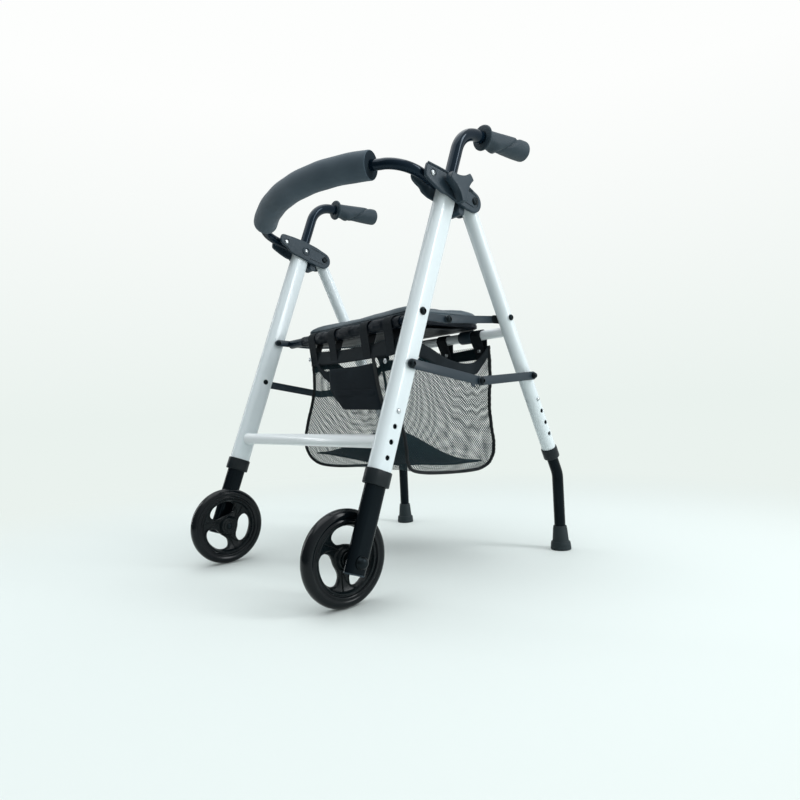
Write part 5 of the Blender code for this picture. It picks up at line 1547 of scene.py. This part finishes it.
@dataclass
class Seat:
    """The lift-up seat: a padded cushion on a board, with a black cover along its front."""

    half_width: float = 0.178
    front_y: float = 0.197
    rear_y: float = 0.39
    low_z: float = 0.4603
    edge_rise: float = 0.0238
    edge_radius: float = 0.0085
    front_corner: float = 0.014
    rear_corner: float = 0.04
    swell_cap: float = 0.005
    overhang: float = 0.008
    cover_half: float = 0.167
    cover_radius: float = 0.0104
    cover_thickness: float = 0.0008
    clamps_x: tuple[float, ...] = (-0.1, 0.0, 0.1)
    voxel: float = 0.005
    filling_frames: int = 20

    def outline(self, drawn_in: float, count: int = 36) -> list[PAIR]:
        """The cushion's outline as (x, y), anticlockwise, drawn in by a distance."""
        w, f, r = self.half_width - drawn_in, self.front_y + drawn_in, self.rear_y - drawn_in
        rear, front = max(0.004, self.rear_corner - drawn_in), max(0.004, self.front_corner - drawn_in)
        corners = (
            (w - rear, r - rear, rear, 0), (-w + rear, r - rear, rear, 90),
            (-w + front, f + front, front, 180), (w - front, f + front, front, 270),
        )
        rounds = [arc((x, y), radius, start, start + 90, 8) for x, y, radius, start in corners]
        points: list[PAIR] = []
        for i, corner in enumerate(rounds):
            points += corner
            last, following = Vector(corner[-1]), Vector(rounds[(i + 1) % 4][0])
            points += [tuple(last.lerp(following, k / count)) for k in range(1, count)]
        return points

    def rear_drop(self, y: float) -> float:
        """How far the cushion's rear edge falls away."""
        return 0.005 * max(0.0, (y - 0.335) / (self.rear_y - 0.335)) ** 2

    def crown(self, x: float, y: float) -> float:
        """Height of the cushion's top over its edge, with soft dents."""
        across = 1 - abs(x / self.half_width) ** 2.6
        middle = (self.front_y + self.rear_y) / 2
        along = 1 - abs((y - middle) / (self.rear_y - middle)) ** 2.6
        dents = noise.noise(Vector((x * 14, y * 14, 0.3))) * 0.0009
        return 0.0022 * max(0.0, across) ** 0.5 * max(0.0, along) ** 0.5 + dents * max(0.0, across * along)

    def build(self, frame: dict) -> None:
        """Build the cushion and its cover, and dress the board."""
        cushion = self.cushion_shape().placed("seat_pad", [SEAT_CLOTH], sharp=60)
        self.inflate(cushion)
        finish_piece(cushion, "seat", ["seat_cushion"])
        self.piping(cushion)
        self.front_cover()
        dress_node(frame, "seat_board", COVER_CLOTH)

    def pushed(self, point: Vector) -> Vector:
        """A point of the cushion, moved forward where the front roll hangs over the seat tube."""
        front = 1 - ease(point.y, self.front_y, self.front_y + 0.03)
        over = ease(point.z, self.low_z + 0.0075, self.low_z + 0.012)
        return point - Vector((0.0, self.overhang * front * over, 0.0))

    def cushion_shape(self) -> Shape:
        """The cushion as it is cut: full rolled edges round a low crown."""
        rise = self.edge_rise
        rows = [(0.0, 0.007), (0.0, 0.0044), (0.06, 0.002), (0.16, 0.0006)]
        rows += [(0.3, 0.0), (0.45, 0.0), (0.6, 0.0002)]
        for i in range(7):
            angle = pi / 2 * i / 6
            rows.append((1 - 0.36 * (1 - sin(angle)), self.edge_radius * (1 - cos(angle)) + 0.0003))
        rows.append((1.0, 0.013))
        rings = []
        for share, drawn_in in rows:
            ring = []
            for x, y in self.outline(drawn_in):
                lift = share * (rise - self.rear_drop(y)) + self.crown(x, y) * ease(share, 0.9, 1.0)
                ring.append(self.pushed(Vector((x, y, self.low_z + lift))))
            rings.append(ring)
        middle = Vector((0.0, (self.front_y + self.rear_y) / 2))
        for scale in (0.92, 0.82, 0.7, 0.56, 0.42, 0.28, 0.14, 0.03):
            ring = []
            for x, y in self.outline(0.013):
                flat = middle + (Vector((x, y)) - middle) * scale
                height = rise - self.rear_drop(flat.y) + self.crown(flat.x, flat.y)
                ring.append(self.pushed(Vector((flat.x, flat.y, self.low_z + height))))
            rings.append(ring)
        return Shape().skin(rings)

    def inflate(self, cushion: Piece) -> None:
        """Fill the cushion with a cloth simulation under pressure and keep the result.

        The cover is remeshed, swells for twenty frames with its underside held, and no
        point may move further than the cap, so the pad stays on its board.

        Args:
            cushion: The cushion, whose mesh changes.
        """
        remesh = cushion.modifiers.new("even", "REMESH")
        remesh.mode = "VOXEL"
        remesh.voxel_size = self.voxel
        settle(cushion)
        start = [vertex.co.copy() for vertex in cushion.data.vertices]
        held = cushion.vertex_groups.new(name="held")
        low = min(point.z for point in start)
        held.add([i for i, point in enumerate(start) if point.z < low + 0.003], 1.0, "REPLACE")
        cloth = cushion.modifiers.new("filling", "CLOTH")
        settings = {
            "quality": 6, "mass": 0.3, "tension_stiffness": 25.0, "compression_stiffness": 20.0,
            "bending_stiffness": 0.6, "use_pressure": True, "uniform_pressure_force": 4.0,
            "vertex_group_mass": "held",
        }
        for name, value in settings.items():
            setattr(cloth.settings, name, value)
        cloth.settings.effector_weights.gravity = 0.0
        scene = bpy.context.scene
        for frame in range(1, self.filling_frames + 1):
            scene.frame_set(frame)
        graph = bpy.context.evaluated_depsgraph_get()
        filled = [vertex.co.copy() for vertex in cushion.evaluated_get(graph).data.vertices]
        cushion.modifiers.clear()
        scene.frame_set(1)
        for vertex, before, after in zip(cushion.data.vertices, start, filled):
            move = after - before
            if move.length > self.swell_cap:
                move *= self.swell_cap / move.length
            vertex.co = before + move
            vertex.co.z = max(vertex.co.z, low)
        cushion.vertex_groups.clear()
        smooth = cushion.modifiers.new("smooth", "SUBSURF")
        smooth.levels = 1
        settle(cushion)
        cushion.data.materials.clear()
        cushion.data.materials.append(SEAT_CLOTH.material())
        cushion.data.shade_smooth()
        LOG.info("seat_pad filled, %d points", len(cushion.data.vertices))

    def piping(self, cushion: Piece) -> None:
        """The stitched seam round the cushion, a narrow cord that lies on its edge."""
        corners = [vertex.co for vertex in cushion.data.vertices]
        surface = BVHTree.FromPolygons(corners, [polygon.vertices for polygon in cushion.data.polygons])
        shift = Vector((0.0, AXLE_Y, 0.0))
        path = []
        for x, y in self.outline(0.002, 24):
            near = self.pushed(Vector((x, y, self.low_z + 0.8 * (self.edge_rise - self.rear_drop(y)))))
            path.append(surface.find_nearest(near + shift)[0] - shift)
        for _ in range(3):
            path = [(path[i - 1] + path[i] * 2 + path[(i + 1) % len(path)]) / 4 for i in range(len(path))]
        seam = Shape().ringed(path, Z_AXIS, circle(0.001, 8)).placed("seat_seam", [SEAT_CLOTH], sharp=60)
        finish_piece(seam, "seat")

    def clamped(self, x: float) -> float:
        """How much a clamp of the seat tube fills out the cover at a place along the tube."""
        return max(1 - ease(abs(x - middle), 0.014, 0.024) for middle in self.clamps_x)

    def front_cover(self) -> None:
        """Black coated cloth drawn round the seat tube and on under the board, in soft folds."""
        half, count = self.cover_half, 150
        y, z = SEAT_TUBE
        profile = [(0.208, 0.4606, 0.0), (0.199, 0.4607, 0.0), (0.1905, 0.4632, 0.3)]
        profile += [(a, b, 1.0) for a, b in arc(SEAT_TUBE, self.cover_radius, 76, 288, 14)]
        profile += [
            (0.188, 0.4462, 0.6), (0.2, 0.445, 0.3), (0.24, 0.447, 0.0), (0.3, 0.45, 0.0),
            (0.345, 0.4522, 0.0),
        ]
        line = curve_through(profile, 3)
        rows, run = [], 0.0
        for r, point in enumerate(line):
            run += (point.xy - line[max(0, r - 1)].xy).length
            out = Vector((point.x - y, point.y - z)).normalized() if point.z > 0.05 else Vector((0.0, -1.0))
            under = ease(run, 0.045, 0.06)
            free = ease(r, 2, 8) * (1 - ease(r, len(line) - 6, len(line) - 1))
            row = []
            for i in range(count + 1):
                x = -half + 2 * half * i / count
                fold = noise.noise(Vector((x * 40, run * 125, 1.7))) * 0.0021
                fold += noise.noise(Vector((x * 95 + 3, run * 210, 4.1))) * 0.0009
                fold += noise.noise(Vector((x * 16, run * 30, 8.1))) * 0.0016 * under
                lift = max(fold, -0.0006) * free * (1 - 0.75 * ease(point.y, 0.459, 0.465))
                lift += 0.0016 * self.clamped(x) * point.z
                row.append((Vector((x, point.x + out.x * lift, point.y + out.y * lift)), (x, run)))
            rows.append(row)
        cover = Shape().sheet(rows).placed("seat_front_cover", [COVER_CLOTH], sharp=80)
        thicken(cover, self.cover_thickness)
        finish_piece(cover, "seat")
        declare_sheet(cover, 2 * half)


def thicken(piece: Piece, thickness: float) -> None:
    """Give a sheet its thickness."""
    solid = piece.modifiers.new("thickness", "SOLIDIFY")
    solid.thickness = thickness
    solid.offset = 0.0
    settle(piece)
    piece.data.shade_smooth()


def declare_sheet(
    piece: Piece, width: float,
) -> None:
    """Work out the area of one side of a cloth, which is then dropped."""
    area = sum(polygon.area for polygon in piece.data.polygons)
    one_side = area / 2 if is_closed(piece) else area


def is_closed(piece: Piece) -> bool:
    """Whether every edge of a piece's mesh has two faces."""
    shape = bmesh.new()
    shape.from_mesh(piece.data)
    closed = all(len(edge.link_faces) == 2 for edge in shape.edges)
    shape.free()
    return closed


@dataclass
class Basket:
    """The hanging bag: a mesh strip under two mesh sides, bound, banded and strapped."""

    fold_start: POINT = (0.0, -0.05865, 0.43)
    fold_end: POINT = (0.0, 0.12965, 0.498)
    strap_start: POINT = (0.0, -0.055, 0.428)
    strap_end: POINT = (0.0, -0.053, 0.448)
    band_width: float = 0.024
    band_thickness: float = 0.0016
    board_thickness: float = 0.003
    front_straps_x: tuple[float, ...] = (-0.119, -0.045, 0.065, 0.137)
    rear_straps_x: tuple[float, ...] = (-0.148, -0.054, 0.0665, 0.162)
    front_loop: float = 0.0131
    rear_loop: float = 0.0112
    strip_width: float = 0.31
    side_width: float = 0.22

    # The left edge of the strip from the front's top round to the rear's top: y, z, half width
    EDGE = mm(
        "176 430 142, 172.5 400 139, 170.5 374 135, 170 338 136, 170 296 148, 171.2 256.5 162, "
        "172.5 228 166, 179 205 160, 197 188 152, 234 179 148, 286 174 146, 341 171.5 147, 379 173 150, "
        "401 183 155, 411 203 160, 410 228 163, 404 269 162, 397 310 160, 391 351 163, 387 392 166, "
        "386 418 166"
    )
    # A side's sagging upper edge: share from front to rear, height
    RIM = (
        (0.0, 0.43), (0.12, 0.4265), (0.3, 0.411), (0.46, 0.393), (0.64, 0.383), (0.8, 0.3845),
        (0.92, 0.401), (1.0, 0.418),
    )
    LAST = len(EDGE) - 1
    FRONT_CORNER = 7.5
    REAR_CORNER = 13.5

    def lean(self, z: float) -> float:
        """How far the slack bag stands over to the left at a height."""
        return 0.016 * ease(z, 0.25, 0.37)

    @cached_property
    def edge_line(self) -> list[Vector]:
        """The smooth line of the strip's left edge as (y, z, half width)."""
        return curve_through(self.EDGE, 6)

    @cached_property
    def rim_line(self) -> list[Vector]:
        """The smooth line of a side's upper edge as (share, z)."""
        return curve_through(self.RIM, 6)

    def edge(self, sign: int, place: float) -> Vector:
        """The point of one edge of the strip at a place from 0 to the number of its steps."""
        y, z, half = at_share(self.edge_line, place / self.LAST)
        return Vector((sign * half + self.lean(z), y, z))

    def rim(self, sign: int, share: float) -> Vector:
        """The point of a side's sagging upper edge at a share from front to rear."""
        line = self.rim_line
        k = next((i for i in range(1, len(line)) if line[i].x >= share), len(line) - 1)
        low, high = line[k - 1], line[k]
        part = min(1.0, max(0.0, (share - low.x) / (high.x - low.x)))
        point = self.edge(sign, 0.0).lerp(self.edge(sign, self.LAST), share)
        return Vector((point.x + sign * 0.004 * sin(pi * share), point.y, low.y + (high.y - low.y) * part))

    def side_point(self, sign: int, across: float, down: float) -> Vector:
        """A point of a side panel, from its front edge to its rear one and from rim to bottom."""
        first, last = self.FRONT_CORNER, self.REAR_CORNER
        front = self.edge(sign, first * down)
        rear = self.edge(sign, self.LAST + (last - self.LAST) * down)
        bottom = self.edge(sign, first + (last - first) * across)
        corners = [self.edge(sign, place) for place in (0.0, self.LAST, first, last)]
        point = self.rim(sign, across) * (1 - down) + bottom * down + front * (1 - across) + rear * across
        point -= corners[0] * (1 - across) * (1 - down) + corners[1] * across * (1 - down)
        point -= corners[2] * (1 - across) * down + corners[3] * across * down
        free = 16 * across * (1 - across) * down * (1 - down)
        ripple = noise.noise(Vector((across * 3.1, down * 2.7, 2.2 * sign)))
        folds = 0.0022 * sin(46 * across + 5 * down) * (1 - down) + 0.003 * ripple
        point.x += sign * (0.004 * free * down + folds * min(1.0, free * 1.5))
        return point

    def build(self) -> None:
        """Build the bag's pieces, hide the packed bag, and hang the pouch, the rear straps and the snaps on
        their bodies; the rest stay where they are built.
        """
        strip = self.strip()
        sides = [self.side_panel(side) for side in Side]
        binding = self.binding()
        bands = [self.band("bag_band_front", 0, 0.03), self.band("bag_band_rear", self.LAST, 0.028)]
        bands += [self.side_band(side) for side in Side]
        pouch, base = self.pouch(), self.base()
        front_straps, rear_straps, *snaps = self.straps()
        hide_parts("basket")
        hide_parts("basket_base")
        for piece in (strip, *sides, binding, base, *bands):
            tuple(self.fold_start)
            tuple(self.fold_end)
            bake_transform(piece)
            LOG.info("%s follows the fold", piece.name)
        finish_piece(pouch, "front_frame")
        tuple(self.strap_start)
        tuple(self.strap_end)
        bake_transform(front_straps)
        finish_piece(rear_straps, "rear_frame")
        finish_piece(snaps[0], "front_frame")
        finish_piece(snaps[1], "rear_frame")
        declare_sheet(strip, self.strip_width)
        for side in sides:
            declare_sheet(side, self.side_width)

    def strip(self) -> Piece:
        """The mesh strip, from the front's top under the bag to the rear's top."""
        steps, columns = 96, 44
        rows, run, before = [], 0.0, self.edge(1, 0.0)
        for r in range(steps + 1):
            place = self.LAST * r / steps
            right, left = self.edge(-1, place), self.edge(1, place)
            run += (left - before).length
            before = left
            ahead = self.edge(1, min(self.LAST, place + 0.05)) - self.edge(1, max(0.0, place - 0.05))
            along = ahead.normalized()
            out = Vector((0.0, along.z, -along.y)).normalized()
            slack = -0.0035 if place < 6 else -0.0015
            row = []
            for i in range(columns + 1):
                share = i / columns
                sag = 4 * share * (1 - share)
                wave = noise.noise(Vector((share * 4.0, place * 0.45, 7.7))) * 0.003
                point = right.lerp(left, share)
                point += out * (slack * sag) - out * wave * sag
                row.append((point, (point.x, run)))
            rows.append(row)
        return Shape().sheet(rows).placed("bag_mesh_strip", [BAG_MESH], sharp=80)

    def side_panel(self, side: Side) -> Piece:
        """One of the bag's mesh sides."""
        steps, rows = 48, []
        for r in range(steps + 1):
            row = [self.side_point(side.value, i / steps, r / steps) for i in range(steps + 1)]
            rows.append([(point, (point.y, point.z)) for point in row])
        return Shape().sheet(rows).placed(f"bag_mesh_side_{side.word}", [BAG_MESH], sharp=80)

    def binding(self) -> Piece:
        """The black tape folded over the seams between the strip and the sides."""
        shape = Shape()
        section = mm(
            "2.8 -1.6, 3.2 0, 2.8 1.8, 1.1 2, 0 3, -1.6 3.2, -2.8 1.9, -2.8 -1.9, -1.6 -3.2, 0 -2.7"
        )
        for sign in (-1, 1):
            path = []
            for i in range(181):
                pucker = 0.0005 * sin(i * 2.3) + 0.0004 * sin(i * 0.71)
                path.append(self.edge(sign, self.LAST * i / 180) + X_AXIS * (sign * (0.0018 + pucker)))
            shape.swept(path, X_AXIS, lambda _: section)
        return shape.placed("bag_binding", [PIPING_CLOTH], sharp=60)

    def band(self, name: str, place: int, depth: float) -> Piece:
        """A black band across the strip that starts at its end and runs down it.

        Args:
            name: The piece's name.
            place: The end of the strip's edge that the band starts at.
            depth: How far down the band runs.

        Returns:
            The band.
        """
        columns, steps, step_length = 60, 6, 0.029
        inward = -1 if place else 1
        out = Vector((0.0, -0.0012 * inward, 0.0))
        rows = []
        for r in range(steps + 1):
            run = depth * r / steps
            at = place + inward * run / step_length
            right, left = self.edge(-1, at), self.edge(1, at)
            row = []
            for i in range(columns + 1):
                share = i / columns
                sag = 4 * share * (1 - share)
                wave = noise.noise(Vector((share * 7.0, r * 0.12, 3.3 + place))) * 0.0022
                slack = Vector((0, -wave * sag * inward, -0.006 * sag * (1 - r / 8)))
                point = right.lerp(left, share) + out + slack
                row.append((point, (point.x, run)))
            rows.append(row)
        band = Shape().sheet(rows).placed(name, [BAND_CLOTH], sharp=70)
        thicken(band, self.band_thickness)
        return band

    def side_band(self, side: Side) -> Piece:
        """The black band that sags along the top of a side."""
        columns, steps, panel_depth = 60, 6, 0.21
        rows = []
        for r in range(steps + 1):
            row = []
            for i in range(columns + 1):
                across = i / columns
                share = 1.0 + 0.9 * ease(across, 0.25, 0.0) - 0.25 * ease(across, 0.8, 1.0)
                depth = self.band_width * share
                z = self.side_point(side.value, across, 0.0).z
                low = self.side_point(side.value, across, min(1.0, depth * (r / steps) / panel_depth))
                point = Vector((low.x + side.value * 0.0012, low.y, z - depth * r / steps))
                row.append((point, (low.y, depth * r / steps)))
            rows.append(row)
        band = Shape().sheet(rows).placed(f"bag_band_side_{side.word}", [BAND_CLOTH], sharp=70)
        thicken(band, self.band_thickness)
        return band

    def pouch(self) -> Piece:
        """The black cloth pocket on the bag's front, with its flap, gusset and bound edge."""
        body = mm("-55.5 388, 45 386.2, 96 389.5, 104 340, 112.5 300, -10 303.5, -44.5 331.5, -56 344")
        flap = mm("-44 344, 91.5 339.5, 100 333, 94 326, -38 330")
        gusset = mm("-106 404, -99 403.5, -90 392, -74 385, -56 384, -55.5 358, -79 370, -98 386")
        shape = Shape()
        for corners, depth, seed in ((body, 0.007, 5.0), (flap, 0.0086, 2.0), (gusset, 0.0032, 7.0)):
            self.patch(shape, corners, depth, seed)
        bound = mm("96.5 398.5, 101 376, 108.5 343, 118.5 312")
        tape = mm("0.4 -4.8, 0.8 0, 0.4 4.8, -0.4 4.6, -0.4 -4.6")
        shape.swept(curve_through([(x, 0.1617, z) for x, z in bound], 6), Y_AXIS, lambda _: tape, finish=1)
        return shape.placed("bag_pouch", [POUCH_CLOTH, PIPING_CLOTH], sharp=60)

    def patch(self, shape: Shape, corners: Sequence[PAIR], depth: float, seed: float) -> None:
        """Add a soft cloth patch that stands off the bag's front, its corners given as (x, z)."""
        outline = round_off(corners, 0.005, 3, True)
        cx, cz = (sum(values) / len(outline) for values in zip(*outline))
        lifts = ((0.0, 1.0), (0.45, 0.997), (0.78, 0.97), (0.92, 0.88), (0.98, 0.64), (1.0, 0.3), (1.0, 0.02))
        rings = []
        for lift, scale in lifts:
            ring = []
            for x, z in outline:
                px, pz = cx + (x - cx) * scale, cz + (z - cz) * scale
                wave = noise.noise(Vector((px * 32, pz * 32, seed))) * 0.002
                wave += sin(pz * 210 + px * 60) * 0.0003
                ring.append(Vector((px, 0.1695 - depth * lift - wave * (lift > 0.6), pz)))
            rings.append(ring)
        shape.skin(rings)


    def base(self) -> Piece:
        """The stiff cloth-covered board in the bottom of the bag, tipped up at its far side."""
        columns, steps = 40, 24
        rows = []
        for r in range(steps + 1):
            y = 0.188 + (0.399 - 0.188) * r / steps
            row = []
            for i in range(columns + 1):
                x = -0.15 + 0.29 * i / columns
                far = ease(-x, -0.1, 0.15)
                z = 0.1975 - 0.0105 * ease(y, 0.188, 0.33) + 0.05 * far * ease(y, 0.2, 0.39) + 0.014 * far
                point = Vector((x, y, z))
                row.append((point, (point.x, point.y)))
            rows.append(row)
        board = Shape().sheet(rows).placed("bag_base", [BASE_CLOTH], sharp=60)
        thicken(board, self.board_thickness)
        return board

    def straps(self) -> list[Piece]:
        """The webbing straps that hang the bag from the two tubes, and their snaps."""
        front, rear, front_snaps, rear_snaps = Shape(), Shape(), Shape(), Shape()
        snap = mm("-0.2 5, -1.2 4.8, -1.8 4, -1.5 3, -2.6 2.2, -2.8 0.01")
        for x in self.front_straps_x:
            self.loop(front, x, SEAT_TUBE, self.front_loop, (0.1735, 0.4), 0.024)
        for x, z in ((-0.128, 0.414), (0.1259, 0.389)):
            front_snaps.turned(snap, (x, 0.1668, z), Y_AXIS, 24)
        for x in self.rear_straps_x:
            self.loop(rear, x, REAR_CROSS, self.rear_loop, (0.3885, 0.392), 0.027)
        for x in (0.0684, 0.1606):
            rear_snaps.turned(snap, (x, 0.3835, 0.41), Y_AXIS, 24)
        straps = [
            shape.placed(f"bag_straps_{end}", [WEBBING], sharp=60)
            for end, shape in (("front", front), ("rear", rear))
        ]
        return straps + [
            shape.placed(f"bag_snaps_{end}", [BRIGHT_STEEL])
            for end, shape in (("front", front_snaps), ("rear", rear_snaps))
        ]

    def loop(self, shape: Shape, x: float, tube: PAIR, radius: float, ends: PAIR, width: float) -> None:
        """Add a strap that runs up from the bag, over a tube and down again.

        Args:
            shape: The shape that gets the strap.
            x: The strap's middle.
            tube: The tube's place as (y, z).
            radius: The radius at which the strap lies round the tube.
            ends: The place of the strap's ends as (y, z).
            width: The strap's width.
        """
        y, z = ends
        points = [(x, y - 0.0022, z), (x, y - 0.0024, z + 0.012)]
        points += [(x, a, b) for a, b in arc(tube, radius, 200, -20, 14)]
        points += [(x, y + 0.0022, z + 0.014), (x, y + 0.0016, z + 0.002)]
        half, thin = width / 2, 0.0006
        section = [
            (half, -thin), (half + 0.0003, 0.0), (half, thin), (-half, thin), (-half - 0.0003, 0.0),
            (-half, -thin),
        ]
        shape.swept(curve_through(points, 3), X_AXIS, lambda _: section)


@dataclass
class Studio:
    """Pale floor and surround, soft lamps, and the camera at the photograph's place."""

    camera_place: POINT = (0.9787, -0.75785, 0.3026)
    yaw: float = radians(-49.6014)
    pitch: float = radians(0.8933)
    roll: float = radians(-2.5677)
    focal_px: float = 602.69
    centre_px: PAIR = (399.39, 398.31)
    image_side: int = 800
    wall: str = "#eaf2ee"
    zenith: str = "#fdfefd"
    floor: str = "#e2e8e5"
    light: str = "#edf3f5"
    lamp_colour: str = "#f7fbfd"
    bright_side: POINT = (0.38, 0.64, 0.67)
    floor_reach: float = 30.0
    aim: POINT = (0.0, 0.0, 0.4)

    def build(self) -> None:
        """Build the surround, the lamps and the camera."""
        self.camera()
        self.world()
        self.ground()
        self.lamp("key_lamp", (1.9, 0.9, 1.45), (0.45, 2.2), 25.0)
        self.lamp("top_lamp", (-0.3, -0.4, 2.4), (2.4, 2.4), 30.0)
        self.lamp("left_strip", (-2.2, -1.1, 0.9), (0.12, 1.8), 8.0)
        bpy.context.scene.view_settings.view_transform = "Standard"

    def camera(self) -> None:
        """Set the camera from the photograph's fitted place, directions and focal length."""
        sin_y, cos_y = sin(self.yaw), cos(self.yaw)
        forward = Vector((sin_y * cos(self.pitch), cos_y * cos(self.pitch), sin(self.pitch)))
        level = Vector((cos_y, -sin_y, 0.0))
        upright = level.cross(forward)
        right = level * cos(self.roll) + upright * sin(self.roll)
        up = upright * cos(self.roll) - level * sin(self.roll)
        data = bpy.data.cameras.new("camera")
        data.sensor_width = 36.0
        data.lens = self.focal_px / self.image_side * data.sensor_width
        data.shift_x = 0.5 - self.centre_px[0] / self.image_side
        data.shift_y = self.centre_px[1] / self.image_side - 0.5
        data.clip_start, data.clip_end = 0.02, 60.0
        camera = bpy.data.objects.new("camera", data)
        turn = Matrix((right, up, -forward)).transposed().to_4x4()
        camera.matrix_world = Matrix.Translation(self.camera_place) @ turn
        bpy.context.scene.collection.objects.link(camera)
        bpy.context.scene.camera = camera

    def uneven(self, tree: Tree, direction: Link, low: float, high: float) -> Node:
        """A strength that rises from low to high towards the bright side."""
        inputs = {0: direction, 1: self.bright_side}
        toward = add_node(tree, "VectorMath", inputs, operation="DOT_PRODUCT").outputs["Value"]
        inputs = {"Value": toward, "From Min": -0.9, "From Max": 0.9, "To Min": low, "To Max": high}
        return add_node(tree, "MapRange", inputs, interpolation_type="SMOOTHSTEP")

    def world(self) -> None:
        """Light softly from all round, and show a pale wall that brightens upward."""
        world = bpy.data.worlds.new("surround")
        bpy.context.scene.world = world
        world.use_nodes = True
        tree = world.node_tree
        tree.nodes.clear()
        direction = add_node(tree, "TexCoord").outputs["Generated"]
        height = add_node(tree, "SeparateXYZ", {0: direction}).outputs["Z"]
        rise = add_node(tree, "MapRange", {"Value": height, "From Max": 0.45})
        inputs = {0: rise, 6: linear(self.wall), 7: linear(self.zenith)}
        shade = add_node(tree, "Mix", inputs, data_type="RGBA").outputs[2]
        seen = add_node(tree, "Background", {"Color": shade, "Strength": 1.0})
        inputs = {"Color": linear(self.light), "Strength": self.uneven(tree, direction, 0.04, 0.94)}
        lit = add_node(tree, "Background", inputs)
        ray = add_node(tree, "LightPath").outputs
        either = maths(tree, "MAXIMUM", ray["Is Camera Ray"], ray["Is Transmission Ray"])
        gloss = maths(tree, "MULTIPLY_ADD", ray["Is Glossy Ray"], 0.12, either, clamp=True)
        mixed = add_node(tree, "MixShader", {0: gloss, 1: lit, 2: seen})
        add_node(tree, "OutputWorld", {"Surface": mixed})

    def ground(self) -> None:
        """The floor, which keeps the shadows near the object and meets the wall far off."""
        mesh = bpy.data.meshes.new("floor")
        reach = self.floor_reach
        corners = [(-reach, -reach, 0), (reach, -reach, 0), (reach, reach, 0), (-reach, reach, 0)]
        mesh.from_pydata(corners, [], [(0, 1, 2, 3)])
        floor = bpy.data.objects.new("floor", mesh)
        bpy.context.scene.collection.objects.link(floor)
        material = bpy.data.materials.new("pale_floor")
        material.use_nodes = True
        tree = material.node_tree
        surface = tree.nodes["Principled BSDF"]
        surface.inputs["Base Color"].default_value = linear(self.floor)
        surface.inputs["Roughness"].default_value = 0.7
        surface.inputs["Specular IOR Level"].default_value = 0.2
        place = add_node(tree, "TexCoord").outputs["Object"]
        away = add_node(tree, "VectorMath", {0: place}, operation="LENGTH").outputs["Value"]
        inputs = {"Value": away, "From Min": 0.55, "From Max": 1.6}
        fade = add_node(tree, "MapRange", inputs, interpolation_type="SMOOTHSTEP")
        outward = add_node(tree, "VectorMath", {0: place}, operation="NORMALIZE")
        seen = add_node(tree, "LightPath").outputs["Is Camera Ray"]
        level = maths(tree, "MAXIMUM", seen, self.uneven(tree, outward, 0.1, 0.96))
        glow = add_node(tree, "Emission", {"Color": linear(self.wall), "Strength": level})
        mixed = add_node(tree, "MixShader", {0: fade, 1: surface, 2: glow})
        tree.links.new(mixed.outputs[0], tree.nodes["Material Output"].inputs["Surface"])
        mesh.materials.append(material)
        floor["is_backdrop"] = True

    def lamp(self, name: str, place: POINT, sides: PAIR, power: float) -> None:
        """Add a soft lamp of that width and height that looks at the object."""
        data = bpy.data.lights.new(name, "AREA")
        data.shape = "RECTANGLE"
        data.size, data.size_y = sides
        data.energy = power
        data.color = linear(self.lamp_colour)[:3]
        lamp = bpy.data.objects.new(name, data)
        lamp.location = place
        lamp.rotation_mode = "QUATERNION"
        lamp.rotation_quaternion = (Vector(self.aim) - Vector(place)).to_track_quat("-Z", "Y")
        bpy.context.scene.collection.objects.link(lamp)


def plain_box(box: tuple[Vector, Vector]) -> list[list[float]]:
    """A box as plain lists of numbers."""
    return [[float(value) for value in corner] for corner in box]


def main() -> list[list[float]]:
    """Build the studio and every sub-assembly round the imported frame.

    Returns:
        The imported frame's box.
    """
    logging.basicConfig(level=logging.INFO, format="%(name)s: %(message)s")
    for old in list(bpy.data.objects):
        bpy.data.objects.remove(old, do_unlink=True)
    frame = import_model()
    packed = plain_box(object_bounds())
    Studio().build()
    for side in Side:
        for assembly in (SideLegs(), Bracket(), Handle(), FrontFoot(), RearFoot(), FoldingLinks()):
            assembly.build(side)
        for node in ("leg_bushing", "stop_wedge", "extension_plug"):
            dress_node(frame, f"{node}_{side.word}", BRACKET_NYLON)
    CrossTubes().build()
    Backrest().build()
    Seat().build(frame)
    Basket().build()
    return packed


if __name__ == "__main__":
    packed_box = main()
